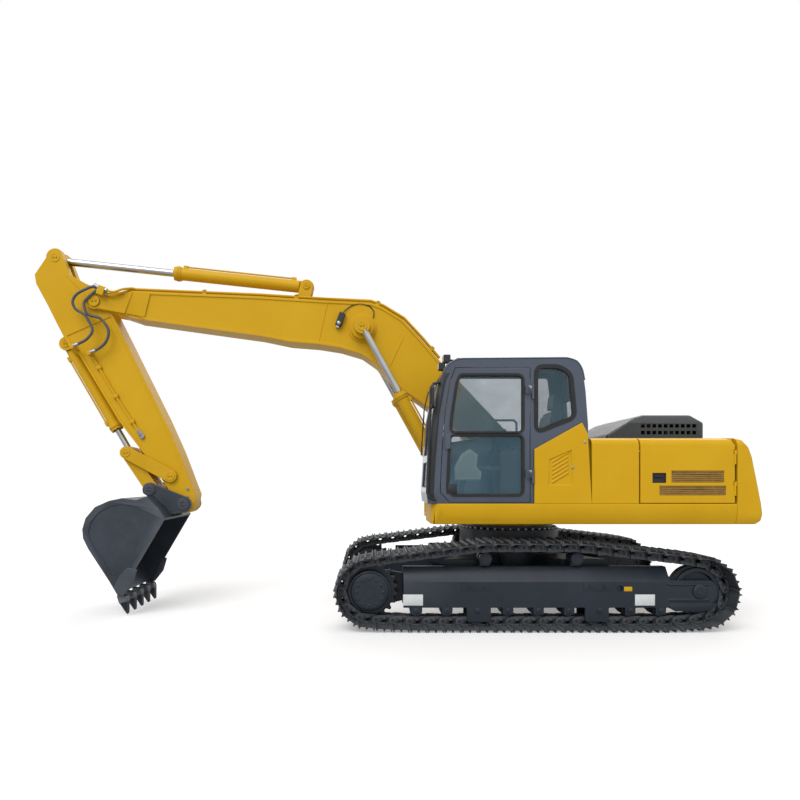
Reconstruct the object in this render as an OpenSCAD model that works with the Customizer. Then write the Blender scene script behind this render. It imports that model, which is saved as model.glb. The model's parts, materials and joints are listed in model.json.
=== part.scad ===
// Crawler excavator, all sizes in millimetres.
// X runs forward, Y to the left, Z up. The origin lies on the ground under the
// middle of the overall length. Shapes are laid out from the slew axis.

/* [Undercarriage] */
// distance between the middles of the two tracks
track_gauge = 2380; // [2200:10:2600]
// width of a track shoe
shoe_w = 600; // [500:10:700]
// sprocket axle ahead of the slew axis
sprocket_x = 1835; // [1700:5:1950]
// idler axle behind the slew axis
idler_x = 1880; // [1700:5:1950]
// height of the sprocket and idler axles
axle_z = 437; // [425:1:450]
// radius of the chain's pin line round the sprocket and the idler
pin_r = 320; // [310:1:330]
// height of the shoe's grouser bars
grouser_h = 26; // [16:1:40]
// radius of the bottom and carrier rollers
roller_r = 78; // [70:1:85]
// distance between two bottom rollers
roller_pitch = 344.5; // [320:0.5:350]
// number of bottom rollers on one side
roller_n = 9; // [7:1:9]
// width of a track frame
frame_w = 330; // [320:5:350]

/* [Upper structure] */
// height of the deck's underside
deck_z = 1190; // [1150:5:1250]
// height of the deck beam
deck_h = 235; // [200:5:260]
// width of the upper structure
house_w = 2700; // [2600:10:2800]
// radius of the counterweight round the slew axis
tail_r = 2920; // [2880:10:3000]
// height of the machine bay above the deck
bay_h = 745; // [650:5:850]
// length of the counterweight along the machine
weight_len = 610; // [560:5:670]
// front end of the deck ahead of the slew axis
deck_front = 1140; // [1100:5:1200]

/* [Cab] */
// height of the cab
cab_h = 1660; // [1550:10:1750]
// inner side wall of the cab from the boom's middle plane
cab_y = 430; // [425:5:480]
// thickness of a cab wall
cab_wall = 45; // [35:1:60]
// largest length of the cab
cab_len = 1831; // [1780:1:1850]

/* [Boom] */
// length of the boom from foot pin to tip pin
boom_len = 5715; // [5600:5:5800]
// rest angle of the boom's pin line
boom_a = 20.142; // [15:0.1:25]
// width of the boom box
boom_w = 420; // [400:2:424]
// boom foot pin ahead of the slew axis
foot_x = 40; // [0:5:80]
// boom foot pin height
foot_z = 2040; // [2000:5:2080]

/* [Arm] */
// length of the arm from boom tip pin to bucket pin
arm_len = 2877; // [2700:1:3000]
// rest angle of the arm's pin line
arm_a = -113.791; // [-118:0.1:-110]
// width of the arm box
arm_w = 340; // [320:2:344]

/* [Bucket] */
// width of the bucket
bucket_w = 1200; // [900:10:1300]
// size of the bucket from its pivot to the tooth tips
bucket_size = 1490; // [1300:5:1500]
// distance from the bucket's pivot to its link pin
ear_len = 471; // [455:1:490]
// length of the rocker links
rocker_len = 648; // [630:1:665]
// length of the bucket link
link_len = 583.6; // [570:0.1:600]

/* [Cylinders] */
// barrel radius of the boom cylinders
boom_cyl_r = 75; // [60:1:78]
// barrel radius of the arm cylinder
arm_cyl_r = 80; // [60:1:85]
// barrel radius of the bucket cylinder
bucket_cyl_r = 72; // [60:1:76]
// middle plane of the boom cylinders from the boom's middle plane
boom_cyl_y = 335; // [333:1:340]
// radius of the boom and arm hinge pins
pin_rad = 50; // [40:1:55]

/* [Hidden] */
$fn = 48;
yellow = [0.84, 0.62, 0.1];
dark = [0.1, 0.11, 0.13];
grey = [0.3, 0.31, 0.33];
chrome = [0.8, 0.8, 0.82];
black = [0.05, 0.05, 0.05];
clear = [0.35, 0.42, 0.45, 0.4];
fit = 0.1;
e = 1;

// Turn, frame and outline helpers.
function turn(p, a) = [p[0] * cos(a) - p[1] * sin(a), p[0] * sin(a) + p[1] * cos(a)];
function unit(v) = v / norm(v);
function dir(a, b) = atan2(b[1] - a[1], b[0] - a[0]);
function inset(p, d) = [
    for (i = [0 : len(p) - 1])
        let (a = p[(i + len(p) - 1) % len(p)], b = p[i], c = p[(i + 1) % len(p)],
             u = unit(b - a), v = unit(c - b), n = [-u[1], u[0]], m = [-v[1], v[0]])
            b + (n + m) * d / (1 + n * m)
];
// where two circles meet, to the left of the line from the first to the second
function meet(p, r, q, s) =
    let (d = norm(q - p), k = (r * r - s * s + d * d) / (2 * d), h = sqrt(r * r - k * k), u = unit(q - p))
        p + u * k + [-u[1], u[0]] * h;
function arc(c, r, a, b, n = 6) =
    [for (i = [0 : n]) let (t = a + (b - a) * i / n) c + r * [cos(t), sin(t)]];
function at_rest(p, o, a) = o + turn(p, a);
function scaled(list, k) = [for (p = list) p * k];
function moved(list, o, a = 0) = [for (p = list) o + turn(p, a)];

// Pins of the front equipment, as points ahead of the slew axis and above ground.
foot = [foot_x, foot_z];
boom_k = boom_len / 5715;
tip = at_rest([boom_len, 0], foot, boom_a);
boom_rod_pin = at_rest([2338, 866] * boom_k, foot, boom_a);
boom_cyl_pin = [foot_x + 640, foot_z - 660];
arm_cyl_pin = at_rest([3229, 1163] * boom_k, foot, boom_a);
arm_k = arm_len / 2877;
arm_rod_pin = at_rest([-753, 256] * arm_k, tip, arm_a);
bucket_cyl_pin = at_rest([305, 607] * arm_k, tip, arm_a);
rocker_pin = at_rest([arm_len - 412, 22], tip, arm_a);
bucket_pin = at_rest([arm_len, 0], tip, arm_a);
ear_pin = bucket_pin + ear_len * [cos(23.4), sin(23.4)];
link_pin = meet(rocker_pin, rocker_len, ear_pin, link_len)[0] > rocker_pin[0] + 200
    ? meet(rocker_pin, rocker_len, ear_pin, link_len) : meet(ear_pin, link_len, rocker_pin, rocker_len);
bucket_k = bucket_size / 1601;

// Layers across the machine, outwards from the middle plane.
boom_h = boom_w / 2;
arm_h = arm_w / 2;
cheek_in = arm_h + 6;
cheek_out = boom_h + 18;
rocker_in = arm_h + 6;
rocker_out = rocker_in + 38;
ear_in = rocker_out + 6;
ear_out = ear_in + 45;
lug_in = boom_h + 6;
lug_out = lug_in + 36;

// Overall length, which places the origin.
front_x = arm_rod_pin[0] + 265 * arm_k;
slew_x = (tail_r - front_x) / 2;

// Track.
track_y = track_gauge / 2;
rail = 48;
seat = 55;
plate = seat + 12;
drop = plate + grouser_h;
roller_z = drop + rail + roller_r;
roller_gap = 6;
first_roller = 1311;
last_roller = first_roller - (roller_n - 1) * roller_pitch;
carrier_x = 520;
carrier_z = 795;
loop = [
    [last_roller, roller_z, roller_r + rail],
    [first_roller, roller_z, roller_r + rail],
    [sprocket_x, axle_z, pin_r],
    [carrier_x, carrier_z, roller_r + rail],
    [-carrier_x, carrier_z, roller_r + rail],
    [-idler_x, axle_z, pin_r]
];
function side_of(a, b) =
    let (d = [b[0] - a[0], b[1] - a[1]]) atan2(d[1], d[0]) - acos((a[2] - b[2]) / norm(d));
function nth(i) = side_of(loop[i % 6], loop[(i + 1) % 6]);
function on(c, a) = [c[0] + c[2] * cos(a), c[1] + c[2] * sin(a)];
function wrap(a) = a < 0 ? wrap(a + 360) : (a >= 360 ? wrap(a - 360) : a);
bend = [for (i = [0 : 5]) loop[i][2] * PI / 180 * wrap(nth(i) - nth(i + 5))];
run = [for (i = [0 : 5]) norm(on(loop[(i + 1) % 6], nth(i)) - on(loop[i], nth(i)))];
loop_len = bend * [1, 1, 1, 1, 1, 1] + run * [1, 1, 1, 1, 1, 1];
shoe_n = round(loop_len / 190);
pitch = loop_len / shoe_n;
function along(s, i = 0) =
    s <= bend[i] ? on(loop[i], nth(i + 5) + s / loop[i][2] * 180 / PI)
    : s <= bend[i] + run[i] || i == 5
        ? on(loop[i], nth(i)) + unit(on(loop[(i + 1) % 6], nth(i)) - on(loop[i], nth(i))) * (s - bend[i])
        : along(s - bend[i] - run[i], i + 1);
pins = [for (i = [0 : shoe_n - 1]) along(i * pitch)];
function pin_at(i) = pins[(i + shoe_n) % shoe_n];
function shoe_pt(i, p) =
    let (a = pin_at(i), b = pin_at(i + 1), u = unit(b - a)) (a + b) / 2 + u * p[0] + [u[1], -u[0]] * p[1];
function chain_pt(i, d) =
    let (u = unit(pin_at(i) - pin_at(i - 1)), v = unit(pin_at(i + 1) - pin_at(i)),
         n = [u[1], -u[0]], m = [v[1], -v[0]]) pin_at(i) + (n + m) * d / (1 + n * m);
shoe = [[-0.48, plate], [-0.44, drop], [-0.34, plate], [-0.07, plate], [0, drop], [0.07, plate],
        [0.34, plate], [0.44, drop], [0.48, plate]];
shoe_line = [for (i = [0 : shoe_n - 1], p = shoe) shoe_pt(i, [p[0] * pitch, p[1]])];
function chain_line(d) = [for (i = [0 : shoe_n - 1]) chain_pt(i, d)];

// Deck and bay.
deck_top = deck_z + deck_h;
bay_top = deck_top + bay_h;
house_y = house_w / 2;
weight_x = tail_r - weight_len;
door_front = weight_x - 1100;
panel_front = 670;

// Cab.
cab_z = deck_top;
cab_top = cab_z + cab_h;
cab_out = house_y - 35;
cab_k = cab_len / 1831;
cab_zk = cab_h / 1660;
cab_rear = -638;
// side outline of the cab as points ahead of the rear wall and above the floor
cab_side = [
    for (p = [[0, 0], [1818, 0], [1831, 130], [1808, 510], [1768, 1000], [1694, 1390], [1595, 1590],
              [1480, 1650], [230, 1660], [120, 1622], [62, 1530], [28, 1270], [0, 890]])
        [cab_rear + p[0] * cab_k, cab_z + p[1] * cab_zk]
];
cab_in = inset(cab_side, cab_wall);
door_line = [
    for (p = [[662, 18], [1568, 18], [1672, 130], [1655, 510], [1622, 1000], [1560, 1390], [1500, 1535],
              [662, 1535]])
        [cab_rear + p[0] * cab_k, cab_z + p[1] * cab_zk]
];
door_x = cab_rear + 662 * cab_k;
hinge_x = door_x - 26;
hinge_y = cab_out + 46;
hinge_gap = 6;
cab_hinges = [cab_z + 280, cab_z + 1230];
quarter_line = [
    for (p = [[170, 990], [570, 830], [570, 1535], [330, 1535], [215, 1460]])
        [cab_rear + p[0] * cab_k, cab_z + p[1] * cab_zk]
];

// Solids laid flat in the side plane or along the machine.
module at_slew() translate([slew_x, 0, 0]) children();
module flat(y0, y1) translate([0, y1, 0]) rotate([90, 0, 0]) linear_extrude(y1 - y0) children();
module both(y0, y1) {
    flat(y0, y1) children();
    flat(-y1, -y0) children();
}
module along_x(x0, x1) translate([x0, 0, 0]) rotate([90, 0, 90]) linear_extrude(x1 - x0) children();
module disc(p, r, y0, y1) translate([p[0], y0, p[1]]) rotate([-90, 0, 0]) cylinder(r = r, h = y1 - y0);
module discs(p, r, y0, y1) {
    disc(p, r, y0, y1);
    disc(p, r, -y1, -y0);
}
module block(a, b) translate(a) cube(b - a);
module mirrored() {
    children();
    mirror([0, 1, 0]) children();
}
module bar(a, b, r) {
    d = b - a;
    translate(a) rotate([0, acos(d[2] / norm(d)), atan2(d[1], d[0])]) cylinder(r = r, h = norm(d));
}
// a round tube along points in the side plane at one distance across
function tube_ring(p, y, i, r, n) =
    let (a = p[max(i - 1, 0)], b = p[i], c = p[min(i + 1, len(p) - 1)],
         u = unit(i == 0 ? c - b : b - a), v = unit(i == len(p) - 1 ? b - a : c - b),
         m = ([-u[1], u[0]] + [-v[1], v[0]]) / (1 + u * v))
        [for (k = [0 : n - 1])
            [b[0] + m[0] * r * sin(k * 360 / n), y + r * cos(k * 360 / n), b[1] + m[1] * r * sin(k * 360 / n)]];
module tube(p, y, r, n = 12)
    polyhedron([for (i = [0 : len(p) - 1]) each tube_ring(p, y, i, r, n)],
               concat([[for (k = [0 : n - 1]) k]],
                      [for (i = [0 : len(p) - 2], k = [0 : n - 1])
                          [i * n + k, (i + 1) * n + k, (i + 1) * n + (k + 1) % n, i * n + (k + 1) % n]],
                      [[for (k = [n - 1 : -1 : 0]) (len(p) - 1) * n + k]]));

// Undercarriage.
module track(s) color(dark) at_slew() translate([0, s * track_y, 0]) {
    flat(-shoe_w / 2, shoe_w / 2)
        polygon(concat(shoe_line, chain_line(seat)),
                paths = [[for (i = [0 : len(shoe_line) - 1]) i],
                         [for (i = [0 : shoe_n - 1]) len(shoe_line) + i]]);
    both(60, 105)
        polygon(concat(chain_line(seat - 0.3), chain_line(-rail)),
                paths = [[for (i = [0 : shoe_n - 1]) i], [for (i = [0 : shoe_n - 1]) shoe_n + i]]);
}
module track_left() track(1);
module track_right() track(-1);

frame_half = frame_w / 2;
frame_low = 252;
frame_front = sprocket_x - 378;
frame_rear = idler_x - 331;
yoke_end = idler_x + 200;
rib_out = 14;
// front-to-back places and lengths of the access plates and chain guards
plate_x = [-890, 480];
plate_len = 320;
guard_x = [-860, 470];
guard_len = 270;
module track_frame(s) color(dark) at_slew() translate([0, s * track_y, 0]) mirror([0, s < 0 ? 1 : 0, 0]) {
    difference() {
        union() {
            along_x(-frame_rear, frame_front)
                polygon([[-frame_half, frame_low], [frame_half, frame_low], [frame_half, 545], [45, 704],
                         [-45, 704], [-frame_half, 545]]);
            both(112, frame_half)
                polygon([[-frame_rear + 20, 300], [-frame_rear + 20, 560], [-yoke_end + 60, 560],
                         [-yoke_end, 500], [-yoke_end, 360], [-yoke_end + 60, 300]]);
            flat(-frame_half, -120)
                polygon(concat([[frame_front - 60, 600], [frame_front - 60, 300]],
                               arc([sprocket_x, axle_z], 236, -90, 90, 12)));
            for (x = [-carrier_x, carrier_x])
                block([x - 55, -30, 690], [x + 55, 30, carrier_z + 40]);
            // ribs of the idler yoke, access plates and chain guards
            for (z = [330, 505])
                block([-yoke_end + 90, frame_half - e, z], [-frame_rear + 20, frame_half + rib_out, z + 22]);
            for (x = plate_x)
                block([x, frame_half - e, 446], [x + plate_len, frame_half + 6, 540]);
            for (x = guard_x)
                both(124, frame_half)
                    polygon([[x, frame_low + e], [x, 110], [x + 20, 90], [x + guard_len - 20, 90],
                             [x + guard_len, 110], [x + guard_len, frame_low + e]]);
            for (i = [0 : roller_n - 1]) {
                x = first_roller - i * roller_pitch;
                for (k = [-1, 1])
                    block([x - 60, k < 0 ? -frame_half : 124, roller_z - 40],
                          [x + 60, k < 0 ? -124 : frame_half, frame_low + 1]);
            }
        }
        block([-frame_rear - e, -122, frame_low - 60], [frame_front + e, 122, roller_z + roller_r + 20]);
        disc([sprocket_x, axle_z], 180.3, -frame_half - e, 0);
        disc([-idler_x, axle_z], 60.3, -frame_half - e, frame_half + e);
        for (i = [0 : roller_n - 1])
            disc([first_roller - i * roller_pitch, roller_z], 28.3, -frame_half - e, frame_half + e);
        for (x = [-carrier_x, carrier_x])
            disc([x, carrier_z], 28.3, -40, 40);
        // grease hole of the track tensioner
        disc([-983, 470], 34, frame_half - 30, frame_half + 2 * rib_out);
    }
}
module track_frame_left() track_frame(1);
module track_frame_right() track_frame(-1);

module rollers(s) color(dark) at_slew() translate([0, s * track_y, 0]) {
    for (i = [0 : roller_n - 1]) {
        p = [first_roller - i * roller_pitch, roller_z];
        disc(p, roller_r - roller_gap, -118, 118);
        disc(p, 28, -frame_half - 4, frame_half + 4);
    }
    for (x = [-carrier_x, carrier_x]) {
        discs([x, carrier_z], roller_r - roller_gap, 40, 110);
        disc([x, carrier_z], 28, -112, 112);
    }
}
module rollers_left() rollers(1);
module rollers_right() rollers(-1);

teeth = 21;
module final_drive(s) color(dark) at_slew() translate([0, s * track_y, 0]) mirror([0, s < 0 ? 1 : 0, 0]) {
    difference() {
        flat(-35, 35)
            polygon([for (i = [0 : teeth - 1], p = [[-6, 286], [-2.2, 326], [2.2, 326], [6, 286]])
                (p[1] + pin_r - 320) * [cos(i * 360 / teeth + p[0]), sin(i * 360 / teeth + p[0])]
                + [sprocket_x, axle_z]]);
        disc([sprocket_x, axle_z], 170, -40, 40);
    }
    disc([sprocket_x, axle_z], 180, -340, 36);
    disc([sprocket_x, axle_z], 232, 35, 176);
    translate([sprocket_x, 175, axle_z]) rotate([-90, 0, 0]) cylinder(r1 = 226, r2 = 200, h = 34);
    disc([sprocket_x, axle_z], 182, 200, 228);
    disc([sprocket_x, axle_z], 60, 220, 238);
    // cover bolts
    for (i = [0 : cover_bolts - 1])
        translate([sprocket_x, 226, axle_z]) rotate([-90, i * 360 / cover_bolts, 0])
            translate([150, 0, 0]) cylinder(r = 15, h = 14, $fn = 6);
}
cover_bolts = 12;
module final_drive_left() final_drive(1);
module final_drive_right() final_drive(-1);

module idler(s) color(dark) at_slew() translate([0, s * track_y, 0]) {
    difference() {
        union() {
            disc([-idler_x, axle_z], pin_r - 65, -105, 105);
            disc([-idler_x, axle_z], pin_r - 34, -50, 50);
        }
        discs([-idler_x, axle_z], pin_r - 112, 62, 106);
    }
    disc([-idler_x, axle_z], 96, -105, 105);
    disc([-idler_x, axle_z], 60, -frame_half - 10, frame_half + 10);
}
module idler_left() idler(1);
module idler_right() idler(-1);

ring_z = deck_z - 120;
tow_z = 430;
module lower_frame() color(dark) at_slew() {
    difference() {
        union() {
            translate([0, 0, 470]) cylinder(r = 640, h = ring_z - 470);
            for (a = [-1, 1], b = [-1, 1])
                translate([0, 0, 480]) linear_extrude(280)
                    polygon(b > 0 ? scaled_xy([[200, 560], [560, 240], [980, track_y - frame_half],
                                               [420, track_y - frame_half]], a)
                                  : scaled_xy([[200, -560], [560, -240], [980, frame_half - track_y],
                                               [420, frame_half - track_y]], a));
            block([-720, -45, tow_z - 40], [-600, 45, 560]);
        }
        translate([-670, -46, tow_z]) rotate([-90, 0, 0]) cylinder(r = 30, h = 92);
        translate([0, 0, 460]) cylinder(r = 200, h = 120);
    }
    translate([0, 0, ring_z]) cylinder(r = 560, h = 56 - fit);
}
function scaled_xy(list, a) = [for (p = list) [p[0] * a, p[1]]];

// Upper structure.
section = [[-house_y, deck_z + 115], [-house_y + 45, deck_z], [house_y - 45, deck_z], [house_y, deck_z + 115],
           [house_y, deck_top], [-house_y, deck_top]];
module deck() color(yellow) at_slew() {
    difference() {
        intersection() {
            along_x(-weight_x, deck_front + 300) polygon(section);
            translate([0, 0, deck_z - e]) linear_extrude(deck_h + 2 * e)
                polygon(concat([[-weight_x - e, -house_y - e], [deck_front + 150, -house_y - e],
                                [deck_front + 250, -house_y + 150], [deck_front + 250, -620],
                                [deck_front - 60, -500], [deck_front - 60, 500], [deck_front, 560]],
                               arc([deck_front - 160, house_y - 160], 160, 0, 90), [[-weight_x - e, house_y + e]]));
        }
        block([350, -lug_out - 165, deck_z + 50], [deck_front + 400, lug_out + 165, deck_top + e]);
    }
    translate([0, 0, ring_z + 56]) cylinder(r = 640, h = deck_z - ring_z - 56);
    // boom brackets and the boom cylinder feet
    both(lug_in, lug_out)
        polygon(concat([[-430, deck_top], [-430, deck_z + 50], [760, deck_z + 50]],
                       arc(boom_cyl_pin, 95, -20, 60, 4), [foot + [175, -60]], arc(foot, 150, 0, 150, 8)));
    both(boom_cyl_y + 43, boom_cyl_y + 73)
        polygon(concat([[boom_cyl_pin[0] - 150, deck_z + 50], [boom_cyl_pin[0] + 100, deck_z + 50]],
                       arc(boom_cyl_pin, 90, 0, 180, 8)));
    disc(foot, pin_rad, -lug_out - 20, lug_out + 20);
    discs(foot, 85, lug_out, lug_out + 14);
    discs(boom_cyl_pin, 42, lug_out - 10, boom_cyl_y + 80);
    discs(boom_cyl_pin, 70, lug_out - e, boom_cyl_y - 43);
}

lift_x = weight_x + 160;
lift_y = 500;
module counterweight() color(yellow) at_slew() difference() {
    counterweight_body();
    for (y = [-lift_y, lift_y])
        translate([-lift_x, y, bay_top - 70]) cylinder(r = 18, h = 80);
}
module counterweight_body() intersection() {
    rotate_extrude($fn = 96)
        polygon([[0, deck_z], [tail_r - 70, deck_z], [tail_r - 15, deck_z + 40], [tail_r, deck_z + 115],
                 [tail_r - 12, deck_top], [tail_r - 105, bay_top - 220], [tail_r - 140, bay_top - 110],
                 [tail_r - 205, bay_top - 30], [tail_r - 290, bay_top], [0, bay_top]]);
    along_x(-tail_r - 10, -weight_x)
        polygon([[-house_y + 45, deck_z], [house_y - 45, deck_z], [house_y, deck_z + 115],
                 [house_y, bay_top - 85], [house_y - 30, bay_top - 25], [house_y - 100, bay_top],
                 [-house_y + 100, bay_top], [-house_y + 30, bay_top - 25], [-house_y, bay_top - 85],
                 [-house_y, deck_z + 115]]);
}

module engine_block() color(grey) at_slew()
    block([-weight_x + 200, -550, deck_top], [-panel_front - 650, 650, bay_top - 130]);

// left wall section of the bay, which doors and panels share
wall = [[house_y, deck_top], [house_y, bay_top - 85], [house_y - 30, bay_top - 25], [house_y - 100, bay_top],
        [house_y - 100, bay_top - 40], [house_y - 50, bay_top - 55], [house_y - 40, bay_top - 95],
        [house_y - 40, deck_top]];
module side_panel() color(yellow) at_slew() along_x(-door_front + 8, -panel_front) polygon(wall);

axis_x = -weight_x + 27;
door_hinges = [deck_top + 90, bay_top - 300];
module bay_door() {
    difference() {
        along_x(axis_x, -door_front - 6) intersection() {
            polygon(wall);
            translate([house_y - 200, deck_top + 7]) square([400, bay_h]);
        }
        translate([axis_x, house_y, deck_top - e]) linear_extrude(bay_h + 10)
            polygon([[0, 0], [-20, 0], [-20, -220], [220, -220]]);
        for (z = door_hinges)
            translate([axis_x, house_y, z + 110]) cylinder(r = 18, h = 56);
        block([handle[0], house_y - 24, handle[1]], [handle[0] + 150, house_y + e, handle[1] + 110]);
        for (v = vents)
            block([v[0], house_y - vent_deep, v[1]], [v[0] + v[2], house_y + e, v[1] + v[3]]);
    }
    for (z = door_hinges)
        translate([axis_x, house_y, z]) cylinder(r = 12, h = 110);
    // handle bar and vent slats
    block([handle[0] + 25, house_y - 25, handle[1] + 60], [handle[0] + 125, house_y - 5, handle[1] + 85]);
    for (v = vents, i = [0 : v[4] - 1])
        block([v[0] + 10, house_y - vent_deep - e, v[1] + (i + 0.3) * v[3] / v[4]],
              [v[0] + v[2] - 10, house_y - 3, v[1] + (i + 0.7) * v[3] / v[4]]);
}
// handle recess, and the vents as rear end, foot, length, height and number of slats
handle = [axis_x + 780, deck_top + 235];
vents = [[axis_x + 125, deck_top + 240, 590, 130, 6], [axis_x + 105, deck_top + 95, 745, 105, 5]];
vent_deep = 14;
module service_door() color(yellow) at_slew() bay_door();
module pump_door() color(yellow) at_slew() mirror([0, 1, 0]) bay_door();

tank_in = 700;
module house_frame() color(yellow) at_slew() {
    block([-panel_front - 40, -tank_in + 20, deck_top], [-panel_front, house_y - 106, bay_top - 40]);
    block([-weight_x + 10, -house_y + 105, deck_top], [-weight_x + 50, house_y - 105, bay_top - 40]);
    difference() {
        translate([0, 0, bay_top - 40]) linear_extrude(40)
            polygon([[-panel_front, house_y - 106], [-weight_x + 5, house_y - 106], [-weight_x + 5, -house_y + 106],
                     [-door_front - 10, -house_y + 106], [-door_front - 10, -tank_in + 20],
                     [-panel_front, -tank_in + 20]]);
        block([-hood_rear + 20, -hood_right + 20, bay_top - 50], [-hood_front - 20, hood_left - 20, bay_top + e]);
    }
    // hinge knuckles of the hood and of the two bay doors
    for (y = hood_hinges) {
        disc(hood_axis, 12, y + 120 + fit, y + 175);
        block([hood_axis[0] - 12, y + 120 + fit, bay_top - e], [hood_axis[0] + 12, y + 175, hood_axis[1]]);
    }
    mirrored() for (z = door_hinges) {
        translate([axis_x, house_y, z + 110 + fit]) cylinder(r = 12, h = 50);
        block([-weight_x + 4, house_y - 106, z + 110 + fit], [-weight_x + 13, house_y, z + 160 + fit]);
        block([-weight_x + 4, house_y - 12, z + 110 + fit], [axis_x, house_y, z + 160 + fit]);
    }
}

hood_front = door_front - 220;
hood_rear = weight_x - 160;
hood_left = 900;
hood_right = 640;
hood_h = 300;
hood_z = bay_top + 6;
hood_axis = [-hood_rear - 14, hood_z + 12];
hood_hinges = [-hood_right + 120, hood_left - 240];
module hood_section(d) {
    low = d > 0 ? hood_z - e : hood_z;
    polygon([[-hood_right + d, low], [hood_left - d, low], [hood_left - d, hood_z + 200],
             [hood_left - 90, hood_z + hood_h - d], [-hood_right + 90, hood_z + hood_h - d],
             [-hood_right + d, hood_z + 200]]);
}
hood_wall = 25;
// lid seen from the side, sloping to the front
hood_line = [[-hood_rear, hood_z], [-hood_front, hood_z], [-hood_front, hood_z + 55],
             [-hood_front - 350, hood_z + 265], [-hood_front - 470, hood_z + hood_h],
             [-hood_rear + 120, hood_z + hood_h], [-hood_rear, hood_z + 200]];
module hood_shell(d) intersection() {
    along_x(-hood_rear, -hood_front) hood_section(d);
    flat(-hood_right, hood_left) polygon(d > 0 ? hood_inner(d) : hood_line);
}
function hood_inner(d) = [for (i = [0 : 6]) inset(hood_line, d)[i] - (i < 2 ? [0, d + e] : [0, 0])];
module hood() color(grey) at_slew() {
    difference() {
        hood_shell(0);
        hood_shell(hood_wall);
        // two rows of air slots in each side
        for (i = [0 : 9], z = [hood_z + 60, hood_z + 140])
            block([-hood_rear + 90 + i * 68, -hood_right - e, z], [-hood_rear + 136 + i * 68, hood_left + e, z + 42]);
    }
    for (y = hood_hinges) {
        disc(hood_axis, 12, y, y + 120);
        block([hood_axis[0], y, hood_axis[1] - 6], [-hood_rear + e, y + 120, hood_axis[1] + 6]);
    }
}

module louvre_panel() color(yellow) at_slew() {
    difference() {
        flat(cab_out + 6, house_y)
            polygon([[-panel_front, deck_top], [hinge_x - 20, deck_top], [hinge_x - 20, deck_top + 615],
                     [-560, deck_top + 915], [-625, deck_top + 790]]);
        flat(house_y - 12, house_y + e)
            polygon([[-180, deck_top + 210], [-450, deck_top + 210], [-440, deck_top + 610], [-185, deck_top + 500]]);
    }
    louvres();
}
module louvres() flat(house_y - 13, house_y - 1)
    for (i = [0 : 5])
        polygon([for (q = [[-222, 232], [-222, 250], [-400, 368], [-405, 340]]) [0, deck_top + 46 * i] + q]);

// a folded steel tank between two places along the machine, with its top edges broken
module tank(x0, x1, top) along_x(x0, x1)
    polygon([[-house_y + 10, deck_top], [-tank_in, deck_top], [-tank_in, top - 30], [-tank_in - 30, top],
             [-house_y + 70, top], [-house_y + 10, top - 60]]);
module filler(x, z) {
    translate([x, -house_y + 330, z - e]) cylinder(r = 62, h = 26);
    translate([x, -house_y + 330, z + 24]) cylinder(r = 74, h = 34, $fn = 24);
}
module fuel_tank() color(yellow) at_slew() {
    tank(-440, 430, bay_top - 20);
    filler(250, bay_top - 20);
    // sight gauge strip
    block([-60, -house_y + 4, deck_top + 180], [-20, -house_y + 11, bay_top - 200]);
}
module oil_tank() color(yellow) at_slew() {
    tank(-door_front + 8, -450, bay_top + 90);
    filler(-700, bay_top + 90);
}
module tool_box() color(yellow) at_slew() {
    tank(440, deck_front + 40, deck_top + 380);
    block([deck_front + 40, -house_y + 60, deck_top], [deck_front + 220, -tank_in, deck_top + 60]);
    // lid with its overhang, latch and a ribbed tread
    block([470, -house_y + 6, deck_top + 250], [deck_front + 10, -house_y + 11, deck_top + 290]);
    for (i = [0 : 5])
        block([520 + i * 100, -house_y + 120, deck_top + 379], [560 + i * 100, -tank_in - 80, deck_top + 388]);
}
module valve_block() color(grey) at_slew() {
    block([-620, -360, deck_top], [-460, 360, deck_top + 420]);
    translate([-200, 0, deck_top]) cylinder(r = 160, h = 260);
}
module handrails() color(black) at_slew() {
    tube([[420, bay_top - 20], [420, bay_top + 380], [380, bay_top + 420], [-340, bay_top + 420],
          [-380, bay_top + 380], [-380, bay_top - 20]], rail_y, 17);
    tube([[deck_front + 20, deck_top + 380], [deck_front + 20, deck_top + 960], [deck_front - 20, deck_top + 1000],
          [520, deck_top + 1000], [480, deck_top + 960], [480, deck_top + 380]], rail_y, 17);
    // grab tube on the cab's front corner
    tube([[grab_x - 150, cab_top - 285], [grab_x - 75, cab_top - 305], [grab_x - 44, cab_top - 350],
          [grab_x, cab_z + 130], [grab_x - 24, cab_z + 70], [grab_x - 100, cab_z + 40]], cab_out + 30, 16);
    for (p = [[grab_x - 120, cab_top - 293], [grab_x - 80, cab_z + 48]])
        disc(p, 10, cab_out, cab_out + 30);
}
grab_x = cab_rear + cab_len - 6;
rail_y = -house_y + 95;
mirror_y = cab_out + 46.3;
mirror_z = cab_z + 1070 * cab_zk;
// mirror on the grab tube, and two lamps over the windscreen
module mirror_head() color(black) at_slew() {
    along_x(grab_x - 74, grab_x - 34)
        polygon([for (q = [[0, 30], [30, 0], [90, 0], [120, 30], [120, 230], [90, 262], [30, 262], [0, 230]])
            [mirror_y, mirror_z] + q]);
    along_x(grab_x - 35, grab_x - 18)
        polygon([for (q = [[22, 45], [98, 45], [98, 217], [22, 217]]) [mirror_y, mirror_z] + q]);
}
module cab_lamps() color(black) at_slew() for (y = [cab_y + 170, cab_out - 170]) {
    block([lamp_x, y - 60, cab_top - 40], [lamp_x + 75, y + 60, cab_top + 50]);
    block([lamp_x + 74, y - 50, cab_top - 30], [lamp_x + 90, y + 50, cab_top + 40]);
    flat(y - 20, y + 20)
        polygon([cab_side[7] + [-80, 1.2], cab_side[7], [lamp_x + 10, cab_top - 30], [lamp_x + 10, cab_top]]);
}
lamp_x = cab_rear + 1545 * cab_k;

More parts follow.
